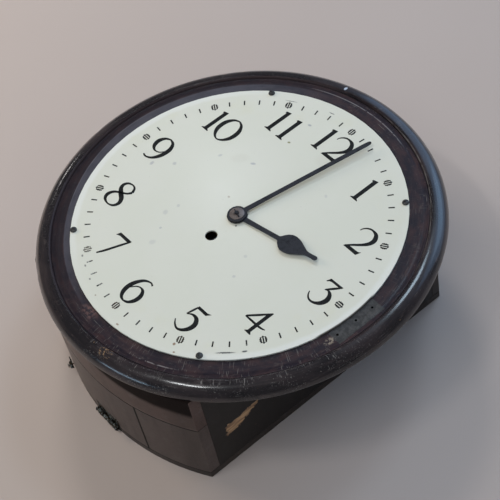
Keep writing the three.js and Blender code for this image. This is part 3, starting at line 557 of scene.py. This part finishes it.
def case_material(name, along, dark, light, dusty=0.30):
    """Varnished board. along is the grain's stretch on each axis."""
    p = Paint(name, {"Coat Roughness": 0.3})
    grain = p.noise(1.4, 5, 0.6, stretch=along, distort=0.4)
    pores = p.noise(0.5, 2, 0.5, stretch=along)
    clouds = p.noise(48, 4, 0.6)
    color = p.mix(p.ramp(clouds, 0.35, 0.7), dark, light)
    color = p.mix(p.times(p.ramp(grain, 0.45, 0.7), 0.45), color, tuple(c * 0.5 for c in dark))
    smears = p.ramp(p.noise(8, 4, 0.6, stretch=(1, 1, 5)), 0.48, 0.72)
    color = p.mix(p.times(smears, 0.45), color, tuple(c * 0.45 for c in dark))
    dust = p.times(p.ramp(p.noise(11, 5, 0.65), 0.52, 0.75), dusty)
    color = p.mix(dust, color, (0.17, 0.15, 0.135))
    nicks = p.times(p.ramp(p.noise(2.2, 4, 0.6), 0.71, 0.74), p.ramp(p.noise(30, 2), 0.5, 0.6))
    color = p.mix(p.times(nicks, 0.8), color, (0.24, 0.15, 0.09))
    # The back edges are rubbed lighter, and the left of the bottom is more faded.
    x, y, z = p.axis("X"), p.axis("Y"), p.axis("Z")
    rubbed = p.times(p.ramp(z, 2.2, 0.4), p.ramp(p.noise(7, 4), 0.45, 0.62))
    color = p.mix(p.times(rubbed, 0.5), color, (0.16, 0.11, 0.08))
    on_bottom = p.ramp(y, -86, -98)
    color = p.mix(p.times(p.ramp(x, 20, -95), on_bottom, 0.45), color, (0.175, 0.145, 0.130))
    # Under the surround a cast shadow of the moulding is painted nearly black across the bottom wall
    # between the sides, higher towards the left, and its gloss is taken away.
    aside = p.math("ABSOLUTE", x)
    between_sides = p.ramp(aside, CASE_SIDE - 0.2, CASE_SIDE - 0.6)
    shade_from = p.math("ADD", p.ramp(x, 85, -45, 0, 15), p.ramp(p.noise(30, 2), 0, 1, 101, 104))
    moulding_shadow = p.times(p.ramp(p.math("SUBTRACT", z, shade_from), -5, 4), between_sides, on_bottom)
    color = p.mix(p.times(moulding_shadow, 0.88), color, (0.006, 0.005, 0.005))
    p.feed(p.shader.inputs["Specular IOR Level"], p.ramp(moulding_shadow, 0, 1, 0.3, 0.02))
    p.feed(p.shader.inputs["Coat Weight"], p.ramp(moulding_shadow, 0, 1, 0.15, 0.0))
    # A lighter line along the rail's lower edge is a painted highlight, and the corners are darker
    # with handling.
    edge = p.times(p.band(z, RAIL_BOTTOM + 0.7, RAIL_BOTTOM + 2.6, 0.5), between_sides, on_bottom)
    edge = p.times(edge, p.ramp(p.noise(12, 4), 0.35, 0.6))
    color = p.mix(p.times(edge, 0.55), color, (0.16, 0.115, 0.10))
    handled = p.times(p.ramp(aside, 84, 104), between_sides, on_bottom, 0.35)
    color = p.mix(handled, color, (0.012, 0.009, 0.008))
    # There is dirt in the joints round the door.
    joint = p.times(p.band(aside, DOOR_SIDE - 1.0, DOOR_SIDE + 1.8, 0.4),
                    p.ramp(z, RAIL_BOTTOM, RAIL_BOTTOM - 1))
    joint = p.any(joint, p.band(z, RAIL_BOTTOM - 1.2, RAIL_BOTTOM + 0.5, 0.3))
    joint = p.times(joint, between_sides, p.ramp(y, -96, -110))
    color = p.mix(p.times(joint, 0.9), color, (0.008, 0.006, 0.005))
    rough = p.ramp(clouds, 0.3, 0.7, 0.42, 0.56)
    height = p.math("ADD", p.times(grain, 0.5), p.times(pores, 0.4))
    return p, color, rough, p.bump(height, 0.03)


def plain_case(name, along, dark, light):
    p, color, rough, normal = case_material(name, along, dark, light)
    return p.done(color, rough, normal)


def shaded_side_material():
    """The side boards, painted nearly black as painted shade, with lighter ends where they face the
    bottom. A strip of wood is torn out of the right-hand one, near the bottom.
    """
    p, color, rough, normal = case_material("case_shaded_side_wood", (1, 1, 20), (0.011, 0.008, 0.007),
                                            (0.015, 0.011, 0.009), dusty=0.02)
    facing = p.node("ShaderNodeNewGeometry", {}, 1)
    towards_bottom = p.ramp(p.axis("Y", p.vector("SCALE", facing, scale=-1.0)), 0.5, 0.7)
    # Ends facing the bottom get a lighter wood colour than the painted shade of the faces.
    ends = p.mix(p.ramp(p.noise(30, 4), 0.4, 0.65), (0.042, 0.030, 0.027), (0.062, 0.047, 0.041))
    color = p.mix(towards_bottom, color, ends)
    frayed = p.frayed(0.22, 11.0, 5.0, 0.65)
    y, z = p.axis("Y", frayed), p.axis("Z", frayed)
    # The strip climbs towards the dial as it runs up the case, and narrows.
    climb = p.math("SUBTRACT", z, p.math("MULTIPLY", p.math("ADD", y, 106.0), 0.11))
    lower = p.ramp(y, -84, -118, 53.5, 43.0)
    chip = p.times(p.band(y, -123, -87, 1.5), p.ramp(p.math("SUBTRACT", climb, lower), -0.5, 0.6),
                   p.ramp(climb, 58.0, 56.8), p.ramp(p.axis("X"), CASE_SIDE - 1.5, CASE_SIDE - 1.0))
    bare = p.mix(p.ramp(p.noise(2.4, 4, stretch=(1, 8, 1)), 0.35, 0.65), (0.24, 0.13, 0.07),
                 (0.58, 0.36, 0.19))
    color = p.mix(chip, color, bare)
    return p.done(color, rough, p.bump(p.math("SUBTRACT", 1.0, chip), 0.25, normal))


def softwood_material():
    p = Paint("bare_softwood", {"Roughness": 0.85})
    grain = p.noise(2.2, 5, 0.6, stretch=(1, 22, 1), distort=0.6)
    color = p.mix(p.ramp(grain, 0.35, 0.65), (0.30, 0.19, 0.11), (0.42, 0.29, 0.18))
    color = p.mix(p.times(p.ramp(p.noise(20, 4), 0.5, 0.7), 0.5), color, (0.14, 0.10, 0.07))
    return p.done(color, None, p.bump(grain, 0.08))


def metal_material(name, base, stain, rough, metallic=1.0, brushed=(1, 1, 1), deposit=None):
    """Metal with tarnish, and for old brass a crust of deposit."""
    p = Paint(name, {"Metallic": metallic})
    brush = p.noise(0.5, 3, 0.5, stretch=brushed)
    tarnish = p.ramp(p.noise(6, 5, 0.65), 0.46, 0.70)
    color = p.mix(tarnish, base, stain)
    shade = p.ramp(p.noise(1.2, 3), 0.3, 0.7, 0.0, 0.25)
    color = p.mix(shade, color, tuple(c * 0.6 for c in stain))
    shine, height = None, p.times(brush, 0.6)
    roughness = p.math("ADD", p.ramp(brush, 0.3, 0.7, rough - 0.06, rough + 0.06),
                       p.times(tarnish, 0.22), clamp=True)
    if deposit:
        crust = p.ramp(p.noise(1.8, 5, 0.7), 0.50, 0.60)
        color = p.mix(crust, color, deposit)
        shine = p.math("SUBTRACT", 1.0, crust)
        roughness = p.math("MAXIMUM", roughness, p.times(crust, 0.85))
        height = p.math("ADD", height, p.times(crust, 2.0))
    return p.done(color, roughness, p.bump(height, 0.03), shine)


dial_enamel = dial_material()
numeral_ink = ink_material()
ring_varnish = surround_material("ring_varnish", glossy=False)
moulding_varnish = surround_material("moulding_varnish", glossy=True)
front_wood = plain_case("case_front_wood", (16, 1, 1), (0.074, 0.052, 0.046), (0.112, 0.084, 0.074))
rail_wood = plain_case("case_rail_wood", (18, 1, 1), (0.080, 0.046, 0.038), (0.110, 0.070, 0.060))
# Side boards: the case wood in painted shade.
shaded_side_wood = shaded_side_material()
board_wood = plain_case("case_board_wood", (1, 18, 1), (0.026, 0.018, 0.015), (0.042, 0.031, 0.026))
softwood = softwood_material()
# Near-black paint for the screw holes: painted shade.
hole_shade = metal_material("screw_hole_shade", (0.010, 0.008, 0.008), (0.004, 0.003, 0.003), 0.8)
blued_steel = metal_material("hand_steel", (0.038, 0.038, 0.046), (0.022, 0.022, 0.025), 0.45,
                             metallic=0.35)
plain_steel = metal_material("plain_steel", (0.42, 0.42, 0.43), (0.16, 0.13, 0.11), 0.32)
dark_bronze = metal_material("dark_bronze", (0.075, 0.075, 0.074), (0.030, 0.028, 0.028), 0.5,
                             metallic=0.4)
collet_brass = metal_material("collet_brass", (0.24, 0.20, 0.185), (0.055, 0.042, 0.040), 0.45,
                              metallic=0.5)
clean_brass = metal_material("polished_brass", (0.60, 0.43, 0.18), (0.30, 0.20, 0.09), 0.30,
                             brushed=(14, 1, 1))
green_brass = metal_material("green_brass", (0.10, 0.075, 0.05), (0.05, 0.040, 0.032), 0.55,
                             deposit=(0.165, 0.190, 0.190))


# ---- surround -----------------------------------------------------------------------------

WAVE_LENGTH, WAVE_HEIGHT = 60, 0.25    # how untrue the turned moulding is
# Dents of the moulding's rim: angle, radius, height, reach, depth.
DENTS = [(129, 184, 129, 6, 0.7), (152, 180, 134, 5, 0.5), (169, 178, 135, 5, 0.6),
         (75, 182, 132, 4, 0.4), (262, 183, 130, 5, 0.5), (305, 181, 133, 4, 0.4),
         (18, 184, 129, 5, 0.4), (208, 184, 128, 6, 0.6)]


def worn_moulding(point):
    """Hand-turned wood isn't quite true, and its rim is dented."""
    swell = noise.noise(point / WAVE_LENGTH) * WAVE_HEIGHT
    moved = point.copy()
    outward = Vector((point.x, point.y, 0)).normalized()
    moved += outward * swell * 0.5
    moved.z += swell * 0.4
    for angle, radius, z, reach, depth in DENTS:
        gap = (point - clock_point(angle, radius, z)).length
        if gap < reach:
            fall = (1 - (gap / reach) ** 2) ** 2 * depth
            moved -= (outward + Vector((0, 0, 0.8))).normalized() * fall
    return moved


def arc(center_radius, center_z, reach_r, reach_z, start, end, count):
    """Points of an ellipse, from start to end degrees above the outward direction."""
    turns = [math.radians(start + (end - start) * i / count) for i in range(count + 1)]
    return [(center_radius + reach_r * math.cos(turn), center_z + reach_z * math.sin(turn))
            for turn in turns]


def build_surround():
    ring = [(RING_INNER, RING_BACK), (RING_OUTER - 0.3, RING_BACK),
            (RING_OUTER + 0.1, RING_BACK + 0.4), (RING_OUTER + 0.15, RING_LIP + 0.9),
            (RING_OUTER - 0.1, RING_LIP + 1.15), (RING_OUTER - 0.8, RING_LIP + 1.1),
            (RING_OUTER - 1.8, RING_LIP + 1.05), (RING_OUTER - 3.6, RING_LIP + 1.1),
            (RING_FLAT_TO + 0.7, RING_LIP + 1.25), (RING_FLAT_TO, RING_FRONT - 0.03),
            (RING_FLAT_TO - 1.0, RING_FRONT), (RING_FLAT_TO - 6.6, RING_FRONT),
            (RING_FLAT_TO - 9.6, RING_FRONT), (RING_INNER, RING_FRONT)]
    bm = bmesh.new()
    lathe(bm, ring, count=256)
    make_piece("surround_ring_turned", bm, ring_varnish, "case", ["surround_ring"], 50)

    back = low("surround_moulding").z
    outer = arc(MOULD_CROWN, back, MOULD_OUTER - MOULD_CROWN, MOULD_TOP - back, 4, 88, 18)
    inner_side = [(MOULD_CROWN - 0.5, MOULD_TOP - 0.10), (MOULD_CROWN - 0.9, MOULD_TOP - 0.35),
                  (MOULD_INNER + 0.6, MOULD_TOP - 0.8), (MOULD_INNER + 0.25, MOULD_TOP - 1.3),
                  (MOULD_INNER + 0.05, MOULD_TOP - 1.7), (MOULD_INNER, MOULD_TOP - 4.0)]
    profile = [(MOULD_INNER, back), (MOULD_OUTER - 0.5, back), *outer, *inner_side]
    bm = bmesh.new()
    lathe(bm, profile, count=300, wobble=worn_moulding)
    make_piece("surround_moulding_turned", bm, moulding_varnish, "case", ["surround_moulding"], 60)
    # Each bezel screw hole is a thin near-black disc on the ring: painted shade in place of the
    # hole's depth.
    for number, y in enumerate(BEZEL_HOLES, 1):
        bm = bmesh.new()
        turns = [i * math.pi / 8 for i in range(16)]
        outline = [Vector((BEZEL_HOLE_X + BEZEL_HOLE_RADIUS * math.cos(turn),
                           y + BEZEL_HOLE_RADIUS * math.sin(turn))) for turn in turns]
        prism(bm, outline, RING_FRONT - 0.3, RING_FRONT + 0.03)
        make_piece(f"bezel_hole_{number}", bm, hole_shade, "case", smooth=30)


# ---- dial ---------------------------------------------------------------------------------

# Numerals: pen strokes of [x, y, half-width] and blocks of [x, y], from a point NUMERAL_RADIUS out.
NUMERAL_RADIUS = 115.5
GLYPHS = {
    "0": {"strokes": [[(0, 14.3, 0.6), (-5.2, 11.8, 1.1), (-8.9, 6.2, 1.8), (-9.9, 0, 2.0),
                       (-8.9, -6.2, 1.8), (-5.2, -11.8, 1.1), (0, -14.3, 0.6), (5.2, -11.8, 1.1),
                       (8.9, -6.2, 1.8), (9.9, 0, 2.0), (8.9, 6.2, 1.8), (5.2, 11.8, 1.1),
                       (0, 14.3, 0.6)]]},
    "1": {"blocks": [[(-3.4, 11.7), (-3.1, 12.9), (-2.0, 13.3), (2.2, 14.3), (2.1, -12.0),
                      (4.3, -13.5), (4.4, -14.2), (-4.4, -14.2), (-4.3, -13.5), (-2.1, -12.0),
                      (-2.0, 10.8)]]},
    "2": {"strokes": [[(-9.7, 7.9, 0.3), (-8.6, 11.2, 0.5), (-5.0, 14.4, 0.7), (-0.6, 15.2, 0.8),
                       (4.6, 13.6, 1.5), (7.8, 8.6, 1.95), (7.2, 3.4, 1.7), (3.4, -2.0, 1.2),
                       (-2.4, -7.6, 0.9), (-7.4, -12.6, 0.6)]],
          "blocks": [[(-8.4, -13.3), (-4.2, -9.8), (5.4, -9.7), (7.5, -9.2), (9.2, -7.9),
                      (7.4, -13.3)]]},
    "3": {"strokes": [[(10.4, 13.4, 0.6), (6.2, 8.2, 1.0), (1.4, 2.3, 0.7)],
                      [(0.6, 1.9, 0.3), (4.4, 3.0, 0.8), (8.4, 0.4, 1.6), (10.4, -4.7, 2.1),
                       (8.6, -10.2, 1.8), (3.8, -13.9, 1.0), (-1.4, -14.3, 0.7),
                       (-5.2, -11.8, 0.55), (-7.5, -8.1, 0.3)]],
          "blocks": [[(-5.3, 9.0), (-3.7, 13.4), (11.2, 13.9), (9.4, 11.4), (-0.4, 11.2),
                      (-2.6, 10.6), (-4.4, 8.8)]]},
    "4": {"strokes": [[(4.5, 12.2, 0.5), (-3.0, 3.4, 0.95), (-10.8, -5.2, 0.8)],
                      [(-11.4, -5.5, 0.5), (-4.0, -5.3, 0.85), (4.0, -5.2, 0.85), (9.0, -4.6, 0.7),
                       (12.0, -3.6, 0.3)]],
          "blocks": [[(4.9, 12.5), (4.7, -13.4), (6.7, -15.2), (6.5, -15.9), (-0.8, -15.9),
                      (-0.6, -15.2), (1.2, -13.6), (1.2, 7.4)]]},
    "5": {"strokes": [[(-4.3, 13.2, 0.7), (-5.4, 8.0, 0.85), (-6.7, 2.2, 0.5)],
                      [(-6.6, 2.0, 0.3), (-2.2, 5.0, 0.8), (3.4, 4.6, 1.5), (7.4, 0.0, 2.0),
                       (7.2, -6.0, 1.9), (3.8, -11.2, 1.3), (-1.0, -13.4, 0.8),
                       (-6.0, -11.4, 0.6), (-9.7, -7.9, 0.3)]],
          "blocks": [[(-4.6, 14.7), (6.4, 14.9), (10.2, 16.3), (6.8, 11.9), (-4.9, 11.9)]]},
    "6": {"strokes": [[(6.7, 13.9, 0.7), (2.6, 15.2, 0.6), (-3.4, 12.2, 1.2), (-7.5, 5.6, 1.75),
                       (-8.8, -1.0, 2.0), (-7.7, -7.4, 1.8), (-4.3, -12.0, 1.2), (0.0, -13.5, 0.6)],
                      [(-0.4, -13.5, 0.6), (4.6, -11.6, 1.2), (7.8, -6.2, 1.8), (7.8, 0.0, 1.8),
                       (4.8, 4.5, 1.2), (0.6, 5.6, 0.6), (-3.4, 3.8, 0.5), (-6.6, -0.4, 0.4)]]},
    "7": {"strokes": [[(11.4, 14.0, 0.6), (8.6, 8.0, 0.95), (4.8, -1.0, 0.95), (1.8, -8.0, 1.0),
                       (-1.8, -15.0, 0.6)]],
          "blocks": [[(-5.5, 9.9), (-3.8, 14.5), (12.2, 14.8), (10.4, 11.5), (-1.2, 11.5),
                      (-3.6, 10.7)]]},
    "8": {"strokes": [[(8.6, 7.0, 1.2), (6.2, 11.4, 0.9), (2.0, 13.0, 0.6), (-3.0, 11.4, 1.0),
                       (-5.2, 7.4, 1.4), (-3.6, 3.2, 1.7), (1.2, -0.6, 2.0), (6.6, -4.2, 1.9),
                       (9.3, -9.0, 1.6), (7.4, -14.2, 1.1), (1.6, -16.4, 0.6), (-4.8, -14.4, 1.2),
                       (-7.2, -9.6, 1.6), (-5.2, -4.2, 1.2), (0.2, -0.3, 0.9), (5.8, 3.0, 0.9),
                       (8.6, 7.0, 1.2)]]},
    "9": {"strokes": [[(-1.0, 14.0, 0.6), (-6.0, 11.2, 1.2), (-8.7, 5.6, 1.9), (-7.8, 0.0, 1.75),
                       (-4.8, -3.5, 1.1), (-0.8, -4.5, 0.6), (3.4, -2.8, 0.5), (6.6, 1.4, 0.4)],
                      [(-1.4, 14.0, 0.6), (4.0, 12.2, 1.2), (7.4, 7.2, 1.8), (8.1, 1.0, 2.0),
                       (6.8, -6.0, 1.8), (3.4, -11.8, 1.2), (-1.0, -14.6, 0.8), (-4.6, -15.0, 0.7),
                       (-6.9, -14.0, 0.5)]]},
}
# Each hour's glyphs with their places beside the hour's own point.
NUMERALS = {
    1: [("1", 2.0, -0.9)], 2: [("2", 0, 0)], 3: [("3", 0, 0)], 4: [("4", 0, 0)], 5: [("5", 0, 0)],
    6: [("6", 0, 0)], 7: [("7", 0, 0)], 8: [("8", 0, 0)], 9: [("9", 0, 0)],
    10: [("1", -4.3, 0.9), ("0", 13.6, 1.3)], 11: [("1", -2.7, -0.6), ("1", 13.1, -0.6)],
    12: [("1", -12.0, -0.9), ("2", 6.3, -1.9)],
}
# How much of each minute mark has flaked away; the others are whole.
WORN_MARKS = {20: 0.08, 21: 0.26, 22: 0.10, 23: 0.16, 24: 0.14, 25: 0.12, 26: 0.16, 27: 0.2, 28: 0.24,
              29: 0.22, 30: 0.22, 31: 0.28, 32: 0.30, 33: 0.36, 34: 0.36, 35: 0.32, 36: 0.24, 37: 0.1}
RUSTY_MARKS = (25, 30, 35)
# Radii of the marks' ends and half their inner width. An hour mark's outer bars stand spread to
# either side and are side shorter at each end. Its small circle has the radius ring, half its
# line's width is ring_half, and it has worn by ring_wear more than the bars.
MINUTE_MARK = {"inner": 134.1, "outer": 139.7, "half": 0.62}
HOUR_MARK = {"inner": 132.8, "outer": 140.8, "half": 0.58, "spread": 2.1, "side": 1.0, "ring": 3.1,
             "ring_half": 0.18, "ring_wear": 0.06}
MARK_FLARE = 1.1                       # how much wider a mark is at its outer end
# How deep a printed shape goes into the dial, how far out, and the step from shape to shape.
INK_SUNK, INK_PROUD, INK_STEP = 0.12, 0.05, 0.012


class Printing:
    """Flat painted shapes on the dial, with how worn and how rusty each one is."""

    def __init__(self):
        self.bm = bmesh.new()
        self.wear = self.bm.verts.layers.float.new("wear")
        self.rust = self.bm.verts.layers.float.new("rust")
        self.count = 0

    def shape(self, outline, wear=0.0, rust=0.0):
        """Shapes drawn after each other differ in height, so that overlapping tops stay apart."""
        self.count += 1
        top = DIAL_FACE + INK_PROUD + INK_STEP * (self.count % 4)
        for vert in prism(self.bm, outline, DIAL_FACE - INK_SUNK, top):
            vert[self.wear] = wear
            vert[self.rust] = rust


def build_printing():
    printing = Printing()
    for hour, glyphs in NUMERALS.items():
        for glyph, dx, dy in glyphs:
            shift = clock_point(30 * hour, NUMERAL_RADIUS).xy + Vector((dx, dy))
            for stroke in GLYPHS[glyph].get("strokes", []):
                printing.shape([p + shift for p in stroke_outline(stroke)])
            for block in GLYPHS[glyph].get("blocks", []):
                printing.shape([Vector(p) + shift for p in block])
    for minute in range(60):
        wear = WORN_MARKS.get(minute, 0.0)
        rust = 1.0 if minute in RUSTY_MARKS else 0.0
        turn = Matrix.Rotation(-math.radians(6 * minute), 2)
        mark = MINUTE_MARK if minute % 5 else HOUR_MARK
        inner, outer = mark["inner"], mark["outer"]
        bars = [(0.0, inner, outer)]
        if mark is HOUR_MARK:
            bars += [(side * mark["spread"], inner + mark["side"], outer - mark["side"])
                     for side in (-1, 1)]
            draw_small_ring(printing, turn, wear + mark["ring_wear"], rust)
        for x, near, far in bars:
            narrow, wide = mark["half"], mark["half"] * MARK_FLARE
            corners = [(x - narrow, near), (x + narrow, near), (x + wide, far), (x - wide, far)]
            printing.shape([turn @ Vector(c) for c in corners], wear, rust)
    make_piece("dial_printing", printing.bm, numeral_ink, "case", smooth=20)


def draw_small_ring(printing, turn, wear, rust):
    """The small circle behind an hour mark, in four arcs with gaps between them."""
    radius, middle = HOUR_MARK["ring"], (HOUR_MARK["inner"] + HOUR_MARK["outer"]) / 2
    gap, steps = 4, 4
    for quarter in range(4):
        angles = [math.radians(90 * quarter + gap + (90 - 2 * gap) * step / steps)
                  for step in range(steps + 1)]
        points = [(radius * math.cos(angle), middle + radius * math.sin(angle),
                   HOUR_MARK["ring_half"]) for angle in angles]
        printing.shape([turn @ p for p in stroke_outline(points)], wear, rust)


# ---- the rest of the clock ----------------------------------------------------------------

def build_case():
    refined("back_board", board_wood, 0.6)
    refined("case_top", board_wood, 0.5)
    # The box has been knocked a little out of square at the corner beside the catch.
    leaned_in(refined("case_side_left", shaded_side_wood, 0.5))
    refined("case_side_right", shaded_side_wood, 0.5)
    leaned_in(refined("case_bottom_left", front_wood, 0.45))
    for node in ("case_bottom_right", "bottom_door"):
        refined(node, front_wood, 0.45)
    leaned_in(refined("case_bottom_rail", rail_wood, 0.45))
    for node in ("surround_batten_left", "surround_batten_right"):
        refined(node, softwood, 0.6)
    for number in range(1, 5):
        refined(f"case_peg_{number}", softwood, 0.25, angle=50)
        refined(f"pillar_{number}", clean_brass, 0.15, angle=40)
    for node in ("hinge_case_leaf", "hinge_door_leaf", "hinge_pin", "door_catch",
                 "door_catch_screw"):
        crusted(refined(node, green_brass, 0.2, angle=40))
    refined("hanging_plate", dark_bronze, 0.2)


def build_dial_and_hands():
    refined("dial_plate", dial_enamel, 0.15, smooth=30)
    for number in range(1, 5):
        refined(f"dial_screw_{number}", dark_bronze, 0.12, angle=35)
    refined("hour_hand", blued_steel, 0.2)
    refined("minute_hand", blued_steel, 0.2)
    build_collet()


def build_collet():
    """The dished washer over the hands, and the pin through the arbor that holds it."""
    seat, top, rim = low("hand_collet").z, high("hand_collet").z, high("hand_collet").x
    bm = bmesh.new()
    lathe(bm, [(2.2, seat + 0.1), (rim - 0.1, seat), (rim, seat + 0.15), (rim - 0.15, seat + 0.32),
               (rim - 0.8, seat + 0.5), (4.6, seat + 0.86), (3.6, top - 0.22), (3.1, top - 0.02),
               (2.6, top), (2.2, top - 0.05)], count=64)
    make_piece("hand_collet_dished", bm, collet_brass, "minute_work", ["hand_collet"], 50)
    tip = high("centre_arbor").z
    lying = Matrix.Rotation(math.radians(-14), 4, "Z") @ Matrix.Rotation(math.radians(90), 4, "Y")
    bm = bmesh.new()
    bmesh.ops.create_cone(bm, cap_ends=True, segments=16, radius1=0.45, radius2=0.62, depth=9.6,
                          matrix=Matrix.Translation((0.3, -0.2, tip - 0.66)) @ lying)
    make_piece("hand_pin", bm, blued_steel, "minute_work")


def finish_movement():
    """The movement keeps its CAD shapes; steel and brass get their surfaces."""
    steel = ("barrel_arbor", "mainspring", "ratchet_wheel", "click", "anchor",
             "suspension_spring", "pendulum_rod")
    surfaces = dict.fromkeys(steel, plain_steel)
    surfaces.update(dict.fromkeys(("centre_arbor", "cannon_pinion"), blued_steel))
    for name, node in frame["nodes"].items():
        if not node.hide_render:
            node.data.materials.clear()
            node.data.materials.append(surfaces.get(name, clean_brass))


# ---- floor, light and camera --------------------------------------------------------------

def build_floor():
    p = Paint("floor_matt", {"Roughness": 0.8})
    p.done(p.mix(p.noise(300, 2), (0.465, 0.400, 0.370), (0.490, 0.425, 0.395)))
    mesh = bpy.data.meshes.new("floor")
    corners = [(FLOOR_REACH * x, FLOOR_REACH * y, 0) for x, y in ((-1, -1), (1, -1), (1, 1), (-1, 1))]
    mesh.from_pydata(corners, [], [(0, 1, 2, 3)])
    mesh.materials.append(p.material)
    floor = bpy.data.objects.new("floor", mesh)
    bpy.context.scene.collection.objects.link(floor)


ROOM_COLOR, ROOM_STRENGTH = (0.92, 0.95, 1.0, 1), 0.12
# Lights: direction from the dial, distance and size in metres, watts, colour, and whether the
# light shows in reflections.
LIGHTS = {
    "key_lamp": ((-0.57, 0.33, 0.75), 2.2, (0.45, 0.45), 11.0, (1.0, 0.97, 0.92), False),
    "overhead": ((0.26, -0.32, 0.91), 2.8, (1.8, 1.8), 18, (1.0, 0.99, 0.95), False),
    "window": ((-0.08, 0.90, 0.42), 3.0, (3.6, 2.5), 30, (0.40, 0.63, 1.0), True),
    "window_core": ((0.02, 0.88, 0.46), 2.9, (1.5, 1.2), 8.5, (0.42, 0.68, 1.0), True),
    "front_window": ((-0.12, -0.96, 0.26), 2.6, (1.0, 0.30), 5.5, (0.55, 0.78, 1.0), True),
    "left_lamp": ((-0.86, -0.36, 0.36), 1.5, (0.6, 0.5), 9.0, (1.0, 0.84, 0.66), False),
    "right_fill": ((0.85, -0.32, 0.42), 2.6, (1.2, 1.2), 7.0, (0.72, 0.85, 1.0), False),
    "dial_glow": ((-0.585, 0.315, 0.748), 2.4, (0.10, 0.10), 0.8, (0.85, 0.93, 1.0), True),
    "glint_right": ((-0.09, 0.50, 0.86), 2.2, (0.46, 0.36), 6.0, (0.66, 0.84, 1.0), True),
    "glint_low": ((-0.04, -0.40, 0.92), 2.2, (0.44, 0.13), 6.0, (0.96, 0.98, 1.0), True),
    "glint_left": ((-0.93, 0.06, 0.37), 2.4, (0.16, 0.08), 0.8, (1.0, 0.97, 0.95), True),
}


def build_lights():
    middle = Vector((0, 0, DIAL_FACE * MM))
    for name, (direction, distance, (width, height), watts, color, shiny) in LIGHTS.items():
        lamp = bpy.data.lights.new(name, "AREA")
        lamp.shape = "RECTANGLE"
        lamp.size, lamp.size_y = width, height
        lamp.energy = watts
        lamp.color = color
        holder = bpy.data.objects.new(name, lamp)
        bpy.context.scene.collection.objects.link(holder)
        away = Vector(direction).normalized()
        holder.location = middle + away * distance
        holder.rotation_euler = away.to_track_quat("Z", "Y").to_euler()
        holder.visible_glossy = shiny
    world = bpy.data.worlds.new("room")
    world.use_nodes = True
    world.node_tree.nodes["Background"].inputs["Color"].default_value = ROOM_COLOR
    world.node_tree.nodes["Background"].inputs["Strength"].default_value = ROOM_STRENGTH
    bpy.context.scene.world = world


# Camera: place, aim, lens and sensor in millimetres, roll in degrees.
CAMERA = {"at": (745.3, -411.0, 1159.6), "aim": (37.5, -16.3, 137.0), "roll": -13.09,
          "lens": 107.63, "sensor": 36.0}


def build_camera():
    camera = bpy.data.cameras.new("camera")
    camera.sensor_width = CAMERA["sensor"]
    camera.lens = CAMERA["lens"]
    holder = bpy.data.objects.new("camera", camera)
    bpy.context.scene.collection.objects.link(holder)
    at, aim = Vector(CAMERA["at"]) * MM, Vector(CAMERA["aim"]) * MM
    look = (aim - at).to_track_quat("-Z", "Y").to_matrix()
    turned = look @ Matrix.Rotation(math.radians(CAMERA["roll"]), 3, "Z")
    holder.matrix_world = Matrix.Translation(at) @ turned.to_4x4()
    bpy.context.scene.camera = holder


build_surround()
build_printing()
build_dial_and_hands()
build_case()
finish_movement()
build_floor()
build_lights()
build_camera()
bpy.context.scene.view_settings.view_transform = "Standard"
